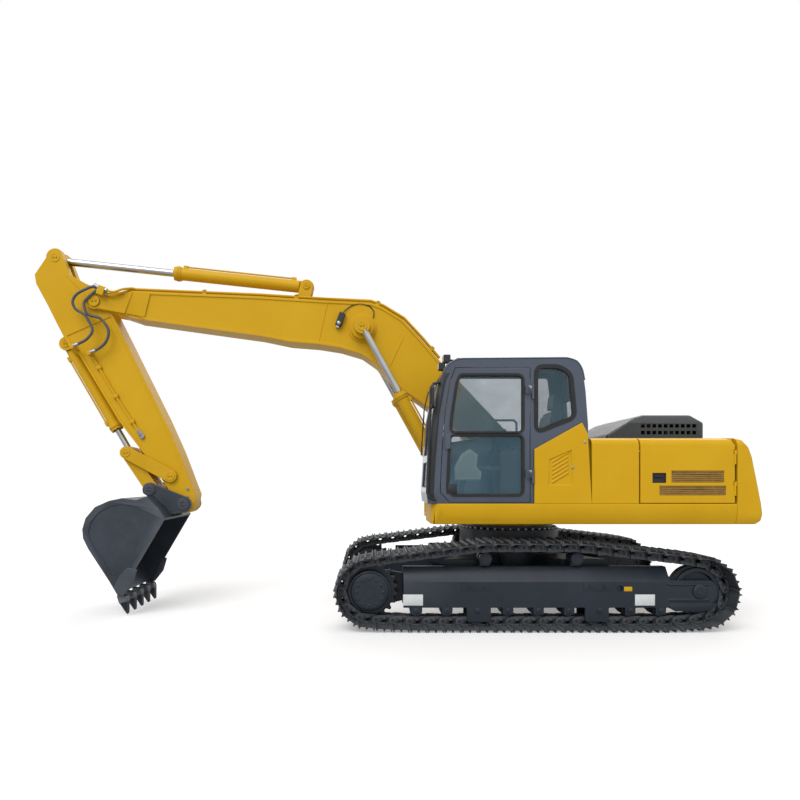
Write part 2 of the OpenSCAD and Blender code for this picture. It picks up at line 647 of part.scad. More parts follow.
// Cab. The two sides are full walls; the other panels stand between them.
between = [cab_y + cab_wall, cab_out - cab_wall];
module band(i, j) flat(between[0], between[1])
    polygon(concat([for (k = [i : j]) cab_side[k % 13]], [for (k = [j : -1 : i]) cab_in[k % 13]]));
module cab_left_side() color(dark) at_slew() {
    difference() {
        flat(cab_out - cab_wall, cab_out) polygon(cab_side);
        flat(cab_out - cab_wall - e, cab_out + e) polygon(inset(door_line, -7));
        flat(cab_out - cab_wall - e, cab_out + e) polygon(quarter_line);
    }
    // fixed knuckles of the door's hinges
    for (z = cab_hinges) {
        translate([hinge_x, hinge_y, z - 50]) cylinder(r = 14, h = 50 - fit);
        block([hinge_x - 16, cab_out - e, z - 50], [hinge_x + 10, hinge_y, z - fit]);
    }
}
right_line = [
    for (p = [[150, 900], [1690, 700], [1660, 1000], [1590, 1390], [1500, 1550], [230, 1550]])
        [cab_rear + p[0] * cab_k, cab_z + p[1] * cab_zk]
];
module cab_right_side() color(dark) at_slew() difference() {
    flat(cab_y, cab_y + cab_wall) polygon(cab_side);
    flat(cab_y - e, cab_y + cab_wall + e) polygon(right_line);
}
pane_in = 90;
module cab_front() color(dark) at_slew() difference() {
    band(1, 6);
    block([300, between[0] + pane_in, cab_z + 560 * cab_zk], [1500, between[1] - pane_in, cab_z + 1500 * cab_zk]);
    block([300, between[0] + pane_in, cab_z + 180 * cab_zk], [1500, between[1] - pane_in, cab_z + 470 * cab_zk]);
}
module cab_roof() color(dark) at_slew() band(6, 11);
module cab_rear_wall() color(dark) at_slew() difference() {
    band(11, 13);
    block([cab_rear - e, between[0] + pane_in, cab_z + 900 * cab_zk],
          [cab_rear + 200, between[1] - pane_in, cab_z + 1230 * cab_zk]);
}
module cab_floor() color(dark) at_slew() band(0, 1);
module cab_glass() color(clear) at_slew() {
    flat(cab_out - 26, cab_out - 20) polygon(inset(quarter_line, 0.5));
    flat(cab_y + 20, cab_y + 26) polygon(inset(right_line, 0.5));
    for (z = [[560.5, 1499.5], [180.5, 469.5]])
        intersection() {
            flat(between[0] + pane_in + 0.5, between[1] - pane_in - 0.5)
                polygon(concat([for (k = [1 : 6]) inset(cab_side, 18)[k]],
                               [for (k = [6 : -1 : 1]) inset(cab_side, 25)[k]]));
            block([300, cab_y, cab_z + z[0] * cab_zk], [1500, cab_out, cab_z + z[1] * cab_zk]);
        }
    intersection() {
        flat(between[0] + pane_in + 0.5, between[1] - pane_in - 0.5)
            polygon(concat([for (k = [11 : 12]) inset(cab_side, 18)[k]],
                           [for (k = [12 : -1 : 11]) inset(cab_side, 25)[k]]));
        block([cab_rear, cab_y, cab_z + 900.5 * cab_zk], [cab_rear + 200, cab_out, cab_z + 1229.5 * cab_zk]);
    }
}
window_line = inset(door_line, 85);
bar_z = cab_z + 790 * cab_zk;
module door_window(d, y0, y1) {
    flat(y0, y1) intersection() {
        polygon(inset(window_line, d));
        translate([-2000, bar_z + 22 + d]) square([4000, 3000]);
    }
    flat(y0, y1) intersection() {
        polygon(inset(window_line, d));
        translate([-2000, 0]) square([4000, bar_z - 22 - d]);
    }
}
module cab_door() color(dark) at_slew() {
    difference() {
        flat(cab_out - cab_wall, cab_out) polygon(door_line);
        door_window(0, cab_out - cab_wall - e, cab_out + e);
    }
    for (z = cab_hinges) {
        translate([hinge_x, hinge_y, z]) cylinder(r = 14, h = 110);
        block([hinge_x, cab_out + hinge_gap, z + 10], [door_x + 50, hinge_y, z + 100]);
        block([door_x + 2, cab_out - e, z + 10], [door_x + 50, hinge_y, z + 100]);
    }
    door_grip();
}
// grip of the door's lock
module door_grip() difference() {
    block([grip[0], cab_out - e, grip[1]], [grip[0] + 60, cab_out + 34, grip[1] + 170]);
    block([grip[0] + 14, cab_out + 8, grip[1] + 30], [grip[0] + 46, cab_out + 22, grip[1] + 140]);
}
grip = [door_x + 900 * cab_k, cab_z + 620 * cab_zk];
module cab_door_glass() color(clear) at_slew() door_window(0.5, cab_out - 26, cab_out - 20);
module seat() color(black) at_slew() {
    floor_z = cab_z + cab_wall;
    y = (cab_y + cab_out) / 2;
    block([cab_rear + 380, y - 200, floor_z], [cab_rear + 800, y + 200, floor_z + 300]);
    block([cab_rear + 330, y - 250, floor_z + 300], [cab_rear + 880, y + 250, floor_z + 430]);
    flat(y - 240, y + 240)
        polygon([[cab_rear + 330, floor_z + 430], [cab_rear + 460, floor_z + 430], [cab_rear + 420, floor_z + 640],
                 [cab_rear + 360, floor_z + 980], [cab_rear + 330, floor_z + 1030], [cab_rear + 245, floor_z + 1030]]);
    flat(y - 135, y + 135)
        polygon([[cab_rear + 236, floor_z + 1060], [cab_rear + 318, floor_z + 1060], [cab_rear + 300, floor_z + 1235],
                 [cab_rear + 222, floor_z + 1235]]);
    for (s = [-60, 60])
        bar([cab_rear + 280, y + s, floor_z + 1000], [cab_rear + 272, y + s, floor_z + 1070], 9);
}
module controls() color(black) at_slew() {
    floor_z = cab_z + cab_wall;
    y = (cab_y + cab_out) / 2;
    for (s = [-1, 1]) {
        block([cab_rear + 500, y + s * 330 - 60, floor_z], [cab_rear + 980, y + s * 330 + 60, floor_z + 560]);
        bar([cab_rear + 920, y + s * 330, floor_z + 559], [cab_rear + 930, y + s * 330, floor_z + 740], 16);
    }
    for (s = [-1, 1]) {
        bar([cab_rear + 1400, y + s * 90, floor_z + 20], [cab_rear + 1290, y + s * 90, floor_z + 420], 14);
        block([cab_rear + 1340, y + s * 90 - 60, floor_z], [cab_rear + 1480, y + s * 90 + 60, floor_z + 40]);
    }
}

// Boom. The outline is laid along the line from foot pin to tip pin.
boom_top = [[5279, 304], [3723, 801], [2912, 1042], [2350, 1219], [2186, 1218], [1882, 1157], [1582, 1005],
            [1277, 833]];
boom_low = [[1221, 204], [1621, 314], [1798, 379], [1999, 487], [2225, 548], [2520, 529], [2804, 474],
            [3171, 371], [3546, 317], [5165, -34], [5375, -38]];
tip_r = 105;
boom_line = concat(scaled(boom_low, boom_k), arc([boom_len, 0], tip_r - 6, -100, 60, 8), scaled(boom_top, boom_k),
                   arc([0, 0], 170, 118, 285, 8));
boom_pocket = inset(concat(scaled(boom_low, boom_k), [[5290, -20] * boom_k, [5279, 304] * boom_k],
                           [for (i = [1 : 7]) boom_top[i] * boom_k], [[330, 300], [330, -10]]), 36);
module in_boom() translate([foot[0], 0, foot[1]]) rotate([0, -boom_a, 0]) children();
module boom() color(yellow) at_slew() in_boom() {
    difference() {
        union() {
            flat(-boom_h, boom_h) polygon(boom_line);
            disc([boom_len, 0], tip_r, -cheek_out, cheek_out);
            flat(-cheek_out, cheek_out)
                polygon(concat([[5290, -20] * boom_k], arc([boom_len, 0], tip_r - 6, -70, 60, 4), [[5290, 280] * boom_k]));
        }
        // recessed side plates leave the flanges standing
        flat(boom_h - 12, boom_h + e) polygon(boom_pocket);
        flat(-boom_h - e, -boom_h + 12) polygon(boom_pocket);
        // fork for the arm
        flat(-cheek_in, cheek_in)
            polygon(concat(arc([boom_len, 0], 350, 100, 215, 8), [[boom_len + 300, -400], [boom_len + 300, 500]]));
        disc([0, 0], pin_rad + fit, -boom_h - e, boom_h + e);
    }
    disc([boom_len, 0], pin_rad, -cheek_out - 15, cheek_out + 15);
    discs([2338, 866] * boom_k, 150, boom_h - 13, boom_cyl_y - 44);
    discs([2338, 866] * boom_k, 184, boom_h - 13, boom_h + 4);
    both(boom_h - 13, boom_h + 5)
        polygon(scaled([[5040, 30], [5300, -12], [5292, 282], [5075, 345]], boom_k));
    both(52, 88)
        polygon(concat([[3120, 960] * boom_k, [3285, 905] * boom_k], arc([3229, 1163] * boom_k, 85, -10, 180, 8)));
    disc([3229, 1163] * boom_k, 45, -95, 95);
    // pads that carry the pipes, and the block the hoses leave
    for (i = [0, 1, 3, 6])
        both(105, 190) pad((boom_top[i] * 0.45 + boom_top[i + 1] * 0.55) * boom_k,
                           unit(boom_top[i + 1] - boom_top[i]), pipe_gap - 0.05);
    flat(cheek_out - 30, 324) polygon([for (q = [[-115, 90], [-25, 90], [-25, 205], [-115, 205]]) [boom_len, 0] + q]);
}
module pad(p, u, h) polygon([p - u * 30 - [u[1], -u[0]] * 2, p - u * 30 + [u[1], -u[0]] * h,
                             p + u * 30 + [u[1], -u[0]] * h, p + u * 30 - [u[1], -u[0]] * 2]);
pipe_r = 15;
pipe_gap = 17;
function raised(p, d) = [for (i = [0 : len(p) - 1])
    let (a = p[max(i - 1, 0)], b = p[i], c = p[min(i + 1, len(p) - 1)],
         u = unit(i == 0 ? c - b : b - a), v = unit(i == len(p) - 1 ? b - a : c - b))
        b + ([u[1], -u[0]] + [v[1], -v[0]]) * d / (1 + u * v)];
pipe_line = raised(scaled(boom_top, boom_k), pipe_gap + pipe_r);
module boom_pipes() color(black) at_slew() in_boom() {
    for (y = [-170, -125, 125, 170])
        tube(pipe_line, y, pipe_r);
}
module boom_lamp() color(black) at_slew() in_boom()
    block([2600 * boom_k, boom_h - 12, 780 * boom_k], [2680 * boom_k, boom_h + 50, 960 * boom_k]);

// Arm, laid along the line from the boom's tip pin to the bucket pin.
arm_front = [[2623, 122], [2168, 202], [1522, 359], [560, 478], [380, 560], [49, 581], [-219, 594], [-535, 619],
             [-653, 589]];
arm_rear = [[-468, 169], [-273, 25], [-197, -50], [218, -128], [1767, -198], [2224, -200]];
arm_line = concat(scaled(arm_rear, arm_k), [[arm_len - 60, -170]], arc([arm_len, 0], 118, -70, 75, 8),
                  scaled(arm_front, arm_k), arc([-753, 256] * arm_k, 117, 110, 240, 8));
arm_pocket = inset(concat(scaled([[218, -128], [1767, -198], [2224, -200]], arm_k),
                          [[arm_len - 330, -170], [arm_len - 330, 140]],
                          scaled([[2168, 202], [1522, 359], [560, 478], [380, 540], [218, 560]], arm_k)), 30);
module in_arm() translate([tip[0], 0, tip[1]]) rotate([0, -arm_a, 0]) children();
module arm() color(yellow) at_slew() in_arm() {
    difference() {
        union() {
            flat(-arm_h, arm_h) polygon(arm_line);
            disc([arm_len, 0], 94, -ear_in + 5, ear_in - 5);
            flat(-95, 95) polygon(concat([[215, 520] * arm_k], [[395, 500] * arm_k],
                                         arc([305, 607] * arm_k, 90, 0, 180, 8)));
        }
        flat(arm_h - 10, arm_h + e) polygon(arm_pocket);
        flat(-arm_h - e, -arm_h + 10) polygon(arm_pocket);
        disc([0, 0], pin_rad + fit, -arm_h - e, arm_h + e);
        disc([arm_len, 0], pin_rad - 8 + fit, -ear_out, ear_out);
        disc([arm_len - 412, 22], 42 + fit, -arm_h - e, arm_h + e);
        // slots for the arm cylinder's rod eye and the bucket cylinder's foot
        flat(-58, 58)
            polygon(concat(arc([-753, 256] * arm_k, 430, -20, 30, 4), [[-1400, 900], [-1400, -300]]));
        flat(-58, 58)
            polygon(concat(arc([305, 607] * arm_k, 130, 180, 400, 10), [[1000, 1000], [0, 1000]]));
        flat(-bucket_cyl_r - 14, bucket_cyl_r + 14)
            polygon([for (q = [[85, 300], [85, -100], [900, -100], [900, 300]])
                [305, 607] * arm_k + turn(q, dir(bucket_cyl_pin, link_pin) - arm_a)]);
    }
    discs([305, 607] * arm_k, 40, 0, 96);
    flat(arm_h - 11, 324) polygon(scaled([[420, 455], [480, 455], [480, 505], [420, 505]], arm_k));
    flat(arm_h - 11, 284) polygon(scaled([[570, 300], [630, 300], [630, 350], [570, 350]], arm_k));
}
arm_pipe_line = [[631, 324], [670, 324], [1200, 262], [1809, 164]];
module arm_pipe() color(yellow) at_slew() in_arm()
    tube(scaled(arm_pipe_line, arm_k), arm_h + 6.05, 16);

// Cylinders, each laid along its own line from the foot pin.
module in_line(a, b) translate([a[0], 0, a[1]]) rotate([0, -dir(a, b), 0]) children();
module barrel(len, r, rod, eye, w, pin, deep) {
    difference() {
        union() {
            rotate([0, 90, 0]) cylinder(r = r, h = len);
            translate([len - 90, 0, 0]) rotate([0, 90, 0]) cylinder(r = r + 12, h = 90);
            disc([0, 0], eye, -w, w);
        }
        disc([0, 0], pin + fit, -w - r, w + r);
        for (s = [-1, 1])
            block([-eye - r, s > 0 ? w : -w - 2 * r, -eye - r], [eye + 8, s > 0 ? w + 2 * r : -w, eye + r]);
        translate([deep, 0, 0]) rotate([0, 90, 0]) cylinder(r = rod + fit, h = len);
    }
    // oil ports at both ends, and the pipe between them
    for (x = [eye + 60, len - 165])
        block([x, -24, r - 12], [x + 60, 24, r + 34]);
    translate([eye + 119, 0, r + 19]) rotate([0, 90, 0]) cylinder(r = 11, h = len - eye - 283, $fn = 16);
}
module rod(start, len, rod, eye, w) {
    translate([start, 0, 0]) rotate([0, 90, 0]) cylinder(r = rod, h = len - start);
    disc([len, 0], eye, -w, w);
}
boom_cyl_len = norm(boom_rod_pin - boom_cyl_pin);
arm_cyl_len = norm(arm_rod_pin - arm_cyl_pin);
bucket_cyl_len = norm(link_pin - bucket_cyl_pin);
// bare length of each rod at rest, and its inner end ahead of the barrel's foot pin
boom_bare = 972;
boom_inner = 962;
arm_bare = 1531;
arm_inner = 1451;
bucket_bare = 362;
bucket_inner = 176;
module boom_cylinders() color(yellow) at_slew() in_line(boom_cyl_pin, boom_rod_pin) mirrored()
    translate([0, boom_cyl_y, 0]) barrel(boom_cyl_len - boom_bare, boom_cyl_r, 42, 88, 38, 42, 110);
module boom_rods() color(chrome) at_slew() in_line(boom_cyl_pin, boom_rod_pin) mirrored()
    translate([0, boom_cyl_y, 0]) rod(boom_inner, boom_cyl_len, 42, 100, 38);
module arm_cylinder() color(yellow) at_slew() in_line(arm_cyl_pin, arm_rod_pin)
    barrel(arm_cyl_len - arm_bare, arm_cyl_r, 47, 92, 46, 45, 120);
module arm_rod() color(chrome) at_slew() in_line(arm_cyl_pin, arm_rod_pin)
    rod(arm_inner, arm_cyl_len, 47, 100, 52);
module bucket_cylinder() color(yellow) at_slew() in_line(bucket_cyl_pin, link_pin)
    barrel(bucket_cyl_len - bucket_bare, bucket_cyl_r, 40, 88, 50, 40, 115);
module bucket_rod() color(chrome) at_slew() in_line(bucket_cyl_pin, link_pin)
    rod(bucket_inner, bucket_cyl_len, 40, 84, 52);

// Bucket linkage.
module strip(a, b, r, s) {
    d = dir(a, b);
    polygon(concat(arc(a, r, d + 90, d + 270, 8), arc(b, s, d - 90, d + 90, 8)));
}
module rocker_links() color(yellow) at_slew() {
    both(rocker_in, rocker_out) strip(rocker_pin, link_pin, 85, 80);
    disc(rocker_pin, 42, -rocker_out, rocker_out);
}
module bucket_link() color(yellow) at_slew() {
    difference() {
        union() {
            both(70, arm_h - 6) strip(ear_pin, link_pin, 82, 80);
            flat(-71, 71) strip(ear_pin, ear_pin + (link_pin - ear_pin) * 0.32, 82, 70);
            disc(ear_pin, 82, -ear_in + 5, ear_in - 5);
        }
        disc(ear_pin, 42 + fit, -ear_in, ear_in);
    }
}

// Bucket, laid from its pivot along the line to its link pin.
bucket_back = [[409, -50], [514, -146], [688, -196], [809, -297], [906, -446], [958, -632], [941, -788],
               [885, -895], [777, -995], [575, -1137], [375, -1280], [222, -1400]];
bucket_mouth = [[150, -1380], [161, -1056], [145, -999], [60, -215], [210, -120]];
bucket_line = scaled(concat([for (i = [len(bucket_back) - 1 : -1 : 0]) bucket_back[i]],
                            [for (i = [len(bucket_mouth) - 1 : -1 : 0]) bucket_mouth[i]]), bucket_k);
inset_back = [for (p = bucket_back) p + 34 * unit([450, -800] - p)];
bucket_hole = scaled(concat([for (i = [len(bucket_back) - 1 : -1 : 1]) inset_back[i]],
                            [[235, -175], [60, -250], [-600, -250], [-600, -1500], [170, -1470]]), bucket_k);
band_back = [for (p = bucket_back) p + 85 * unit([450, -800] - p)];
bucket_plate = scaled(concat([for (i = [len(bucket_back) - 2 : -1 : 1]) band_back[i]],
                             [[190, -230], [265, -940], [330, -1190]]), bucket_k);
bucket_h = bucket_w / 2;
module in_bucket() translate([bucket_pin[0], 0, bucket_pin[1]]) rotate([0, -23.4, 0]) children();
module bucket() color(dark) at_slew() in_bucket() {
    difference() {
        flat(-bucket_h, bucket_h) polygon(bucket_line);
        flat(-bucket_h + 30, bucket_h - 30) polygon(bucket_hole);
        // side plates set back from the wear band along the back
        flat(bucket_h - 9, bucket_h + e) polygon(bucket_plate);
        flat(-bucket_h - e, -bucket_h + 9) polygon(bucket_plate);
    }
    // side cutters
    both(bucket_h - 10, bucket_h + 22)
        polygon(scaled([[118, -985], [235, -1005], [285, -1150], [290, -1335], [210, -1388], [145, -1376],
                        [95, -1180]], bucket_k));
    both(ear_in, ear_out)
        polygon(concat(arc([0, 0], 105, 100, 250, 8), scaled([[90, -190], [300, -130], [470, -100]], bucket_k),
                       arc([ear_len, 0], 95, -50, 110, 8)));
    disc([0, 0], pin_rad - 8, -ear_out, ear_out);
    disc([ear_len, 0], 42, -ear_out, ear_out);
    discs([0, 0], 80, ear_out, ear_out + 16);
    discs([ear_len, 0], 75, ear_out, ear_out + 16);
}
// each tooth is an adapter over the lip and a point that narrows to its edge
tooth_root = [186, -1391] * bucket_k;
tooth_a = dir([186, -1391], [23, -1601]);
tooth_len = norm([163, 210]) * bucket_k;
module bucket_teeth() color(grey) at_slew() in_bucket()
    for (i = [0 : 4])
        translate([tooth_root[0], (i - 2) * (bucket_w - 150) / 4, tooth_root[1]]) rotate([0, -tooth_a, 0]) {
            intersection() {
                flat(-60, 60)
                    polygon([[14.8, -37], [34, -52], [95, -46], [tooth_len - 12, -10], [tooth_len, 0],
                             [tooth_len - 12, 8], [95, 46], [10, 50], [-15.3, 36]]);
                translate([0, 0, -80]) linear_extrude(160)
                    polygon([[-20, -58], [92, -58], [96, -48], [tooth_len, -30], [tooth_len, 30], [96, 48],
                             [92, 58], [-20, 58]]);
            }
        }

// Hoses from the boom's pipes across the joint to the arm.
function hose_line(a, b) = concat(moved(a, tip, boom_a), moved(b, tip, arm_a));
hose_a_line = hose_line([[-24.8, 176], [5, 176], [82, 132], [202, 4]],
                        [[-77, 237], [29, 242], [123, 175], [219, 152], [369, 154], [440, 270], [450, 380],
                         [450, 454.8 * arm_k]]);
hose_b_line = hose_line([[-24.8, 131], [0, 131], [72, 14]],
                        [[-7, 128], [139, 138], [247, 14], [427, -26], [553, 60], [600, 190],
                         [600, 299.8 * arm_k]]);
module hose_a() color(black) at_slew() tube(hose_a_line, 300, 18);
module hose_b() color(black) at_slew() tube(hose_b_line, 260, 18);

lower_frame();
track_frame_left();
track_frame_right();
track_left();
track_right();
final_drive_left();
final_drive_right();
idler_left();
idler_right();
rollers_left();
rollers_right();
deck();
counterweight();
engine_block();
side_panel();
house_frame();
louvre_panel();
fuel_tank();
oil_tank();
tool_box();
valve_block();
handrails();
mirror_head();
cab_lamps();
cab_floor();
cab_roof();
cab_left_side();
cab_right_side();
cab_front();
cab_rear_wall();
cab_glass();
seat();
controls();
cab_door();
cab_door_glass();
service_door();
pump_door();
hood();
boom();
boom_pipes();
boom_lamp();
hose_a();
hose_b();
boom_cylinders();
boom_rods();
arm();
arm_pipe();
arm_cylinder();
arm_rod();
bucket_cylinder();
bucket_rod();
rocker_links();
bucket_link();
bucket();
bucket_teeth();
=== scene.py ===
import json
import math

import bmesh
import bpy
from mathutils import Matrix, Vector


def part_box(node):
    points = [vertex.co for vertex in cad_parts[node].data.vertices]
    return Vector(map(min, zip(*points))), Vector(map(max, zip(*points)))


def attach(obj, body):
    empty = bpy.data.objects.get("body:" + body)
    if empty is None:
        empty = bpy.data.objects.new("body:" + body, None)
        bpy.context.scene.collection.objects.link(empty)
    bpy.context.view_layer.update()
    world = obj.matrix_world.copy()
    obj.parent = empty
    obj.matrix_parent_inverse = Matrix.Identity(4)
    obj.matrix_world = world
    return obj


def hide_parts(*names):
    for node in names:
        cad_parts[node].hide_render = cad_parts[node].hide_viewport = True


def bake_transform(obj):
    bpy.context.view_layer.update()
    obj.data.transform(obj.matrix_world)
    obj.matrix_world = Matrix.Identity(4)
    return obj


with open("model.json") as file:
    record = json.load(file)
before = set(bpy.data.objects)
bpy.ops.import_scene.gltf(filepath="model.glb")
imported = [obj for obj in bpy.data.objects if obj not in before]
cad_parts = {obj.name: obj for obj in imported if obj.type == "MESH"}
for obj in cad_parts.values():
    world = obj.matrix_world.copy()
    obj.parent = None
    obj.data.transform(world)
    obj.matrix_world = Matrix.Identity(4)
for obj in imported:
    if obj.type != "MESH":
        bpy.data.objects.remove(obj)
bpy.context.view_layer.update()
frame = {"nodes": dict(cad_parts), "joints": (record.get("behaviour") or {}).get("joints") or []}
scene = bpy.context.scene
scene.view_settings.view_transform = "Standard"

# Places, taken from the frame's joints. Lengths below are in millimetres.
MM = 0.001
joints = {j["name"]: j for j in frame["joints"]}
SIDES = (1, -1)


def pin(joint):
    """Where a joint turns, in metres."""
    return Vector(joints[joint]["pos_m"])


def along(a, b):
    """Millimetres from a, with X running from a to b in the side plane."""
    d = b - a
    turn = Matrix.Rotation(-math.atan2(d.z, d.x), 4, "Y")
    return Matrix.Translation(a) @ turn @ Matrix.Scale(MM, 4)


def slide_line(tilt, slide):
    """Millimetres from a cylinder's foot pin, with X along its rod."""
    return along(pin(tilt), pin(tilt) + Vector(joints[slide]["axis"]))


slew_x = pin("slew").x
MACHINE = Matrix.Translation((slew_x, 0, 0)) @ Matrix.Scale(MM, 4)
BOOM = along(pin("boom_lift"), pin("arm_swing"))
ARM = along(pin("arm_swing"), pin("bucket_curl"))
BUCKET = along(pin("bucket_curl"), pin("link_turn"))
BOOM_CYLINDER = slide_line("boom_barrel_tilt", "boom_rod_slide")
ARM_CYLINDER = slide_line("arm_barrel_tilt", "arm_rod_slide")
BUCKET_CYLINDER = slide_line("bucket_barrel_tilt", "bucket_rod_slide")


def place_mm(point):
    """A point of the frame in millimetres from the slew axis."""
    return MACHINE.inverted() @ Vector(point)


def box_mm(node):
    """A node's lowest and highest corners in millimetres from the slew axis."""
    low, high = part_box(node)
    return place_mm(low), place_mm(high)


# Finishes
def linear(hex_colour):
    """An sRGB hex colour as the linear one that shaders take."""
    parts = [int(hex_colour[i:i + 2], 16) / 255 for i in (1, 3, 5)]
    return [p / 12.92 if p <= 0.04045 else ((p + 0.055) / 1.055) ** 2.4 for p in parts] + [1.0]


def add(tree, kind, links=None, **settings):
    """Adds a node with its settings, and links or sets its inputs."""
    made = tree.nodes.new("ShaderNode" + kind)
    for key, value in settings.items():
        setattr(made, key, value)
    for socket, value in (links or {}).items():
        if isinstance(value, bpy.types.NodeSocket):
            tree.links.new(value, made.inputs[socket])
        else:
            made.inputs[socket].default_value = value
    return made


def finish(name, deep, pale, patch_mm, grain_mm, rough, bump_mm, dust=None, wear=None, **fixed):
    """A surface with two tones in soft patches, and a fine grain in its gloss and relief.

    dust is a colour and a share that lies on what faces up, and wear a colour that shows on raised edges.
    """
    made = bpy.data.materials.new(name)
    made.use_nodes = True
    tree = made.node_tree
    shader = tree.nodes["Principled BSDF"]
    where = add(tree, "TexCoord").outputs["Object"]
    patches = add(tree, "TexNoise", {"Vector": where, "Scale": 1 / (patch_mm * MM), "Detail": 5.0,
                                     "Roughness": 0.62})
    grain = add(tree, "TexNoise", {"Vector": where, "Scale": 1 / (grain_mm * MM), "Detail": 3.0})
    spread = add(tree, "MapRange", {0: patches.outputs["Fac"], 1: 0.3, 2: 0.7})
    tone = add(tree, "Mix", {0: spread.outputs[0], 6: linear(deep), 7: linear(pale)}, data_type="RGBA").outputs[2]
    gloss = add(tree, "MapRange", {0: grain.outputs["Fac"], 1: 0.3, 2: 0.7, 3: rough[0], 4: rough[1]}).outputs[0]
    shape = add(tree, "NewGeometry")
    if dust:
        up = add(tree, "SeparateXYZ", {0: shape.outputs["Normal"]}).outputs["Z"]
        lies = add(tree, "MapRange", {0: up, 1: 0.25, 2: 1.0, 3: 0.0, 4: dust[1]}).outputs[0]
        broken = add(tree, "Math", {0: lies, 1: spread.outputs[0]}, operation="MULTIPLY").outputs[0]
        tone = add(tree, "Mix", {0: broken, 6: tone, 7: linear(dust[0])}, data_type="RGBA").outputs[2]
        gloss = add(tree, "Math", {0: gloss, 1: broken}, operation="ADD", use_clamp=True).outputs[0]
    if wear:
        edge = add(tree, "MapRange", {0: shape.outputs["Pointiness"], 1: wear[1], 2: wear[2]}).outputs[0]
        rubbed = add(tree, "Math", {0: edge, 1: grain.outputs["Fac"]}, operation="MULTIPLY").outputs[0]
        tone = add(tree, "Mix", {0: rubbed, 6: tone, 7: linear(wear[0])}, data_type="RGBA").outputs[2]
    relief = add(tree, "Bump", {"Height": grain.outputs["Fac"], "Distance": bump_mm * MM, "Strength": 0.6})
    tree.links.new(tone, shader.inputs["Base Color"])
    tree.links.new(gloss, shader.inputs["Roughness"])
    tree.links.new(relief.outputs["Normal"], shader.inputs["Normal"])
    for socket, value in fixed.items():
        shader.inputs[socket.replace("_", " ")].default_value = value
    return made


# Sprayed two-pack enamel on steel plate: an even deep yellow, a wet gloss and a faint orange peel,
# whose 4 mm cells are drawn at 14 mm so that they show.
yellow_enamel = finish("yellow_enamel", "#C99B11", "#D1A41C", 900, 14, (0.36, 0.46), 0.05,
                       Specular_IOR_Level=0.14, Coat_Weight=0.03, Coat_Roughness=0.10)
# The same enamel brushed over castings and forgings: rougher, with the sand's grain under it.
cast_yellow = finish("yellow_cast_enamel", "#C49710", "#CFA21E", 300, 9, (0.40, 0.52), 0.25,
                     Specular_IOR_Level=0.16, Coat_Weight=0.03, Coat_Roughness=0.15)
# Baked graphite enamel of the cab: a dark blue grey, glossy enough to mirror the room.
graphite_enamel = finish("graphite_enamel", "#2F3A4B", "#3A4659", 900, 40, (0.22, 0.27), 0.01,
                         Coat_Weight=0.6, Coat_Roughness=0.05)
# Dipped satin black-blue paint of the undercarriage, with a thin film of yard dust on top.
chassis_satin = finish("chassis_satin", "#161E28", "#202A36", 420, 11, (0.34, 0.46), 0.10,
                       dust=("#4A4740", 0.20), Specular_IOR_Level=0.4, Coat_Weight=0.1, Coat_Roughness=0.2)
# Heat-treated rolled steel of shoes and links: dark oxide, brown dust in the lows and bright rubbed edges.
oxide_steel = finish("oxide_steel", "#12161B", "#1E242A", 160, 7, (0.36, 0.54), 0.30,
                     dust=("#544D40", 0.35), wear=("#6C7076", 0.52, 0.60), Metallic=0.35)
# Thick brushed bucket paint over plate: blue grey, chalky in patches, rubbed at the edges.
bucket_paint = finish("bucket_paint", "#242A33", "#343C47", 330, 8, (0.38, 0.54), 0.25,
                      wear=("#747A82", 0.53, 0.62), Specular_IOR_Level=0.4, Coat_Weight=0.08)
# Cast tooth steel: darker and rougher than plate, bright where it is rubbed.
tooth_steel = finish("cast_tooth_steel", "#1D2228", "#2B3138", 90, 6, (0.42, 0.60), 0.35,
                     wear=("#8A8F95", 0.53, 0.62), Metallic=0.4)
# Ground and hard-chromed piston rod: a mirror with a soft lengthwise haze.
hard_chrome = finish("hard_chrome", "#A9ABAC", "#BDBEBF", 250, 20, (0.16, 0.24), 0.01, Metallic=1.0)
# Zinc-plated bolts, ferrules and hinges: pale and slightly cloudy.
zinc_plate = finish("zinc_plate", "#8C9095", "#A8ABAE", 40, 5, (0.30, 0.46), 0.05, Metallic=0.9)
# Mould-grained black plastic of trim, lamps and grips: dark, with a soft broken sheen.
black_plastic = finish("grained_black_plastic", "#15171A", "#1E2125", 120, 5, (0.44, 0.58), 0.10)
# Extruded black rubber of seals and mats: flat black with hardly a highlight.
seal_rubber = finish("seal_rubber", "#0E0F11", "#17181A", 80, 6, (0.55, 0.70), 0.05)
# Woven-cover hydraulic hose: black rubber, lightened to grey-black in its colour as a painted sheen, with a wrapped
# texture.
hose_cover_painted_sheen = finish("wrapped_hose_cover_painted_sheen", "#3A3D42", "#53565B", 60, 6, (0.42, 0.58), 0.30)
# Pressure-moulded grey hood lid, satin and slightly mottled.
hood_grey = finish("moulded_hood_grey", "#232629", "#2E3135", 380, 9, (0.34, 0.44), 0.06,
                   dust=("#5A5854", 0.14), Coat_Weight=0.1, Coat_Roughness=0.2)
# Perforated steel sheet behind the vents, drawn without holes: its yellow is darkened with painted shade that stands
# in for the shadowed holes.
vent_sheet_painted_shade = finish("perforated_vent_sheet_painted_shade", "#84642A", "#A88136", 60, 8, (0.45, 0.60), 0.60)
# Cast iron of engine, pump and valve, with a machined grey coat.
cast_iron = finish("machine_grey_cast_iron", "#43474B", "#55595D", 120, 5, (0.50, 0.66), 0.40)
# Moulded cab trim: pale and matt, so that the inside of the roof reads light.
trim_grey = finish("cab_trim_grey", "#8F9698", "#A3A9AA", 200, 6, (0.55, 0.68), 0.08)
# Blank white film plates: clean, pale and satin.
blank_film = finish("blank_white_film", "#C9CDCF", "#DADDDE", 60, 8, (0.32, 0.42), 0.02)
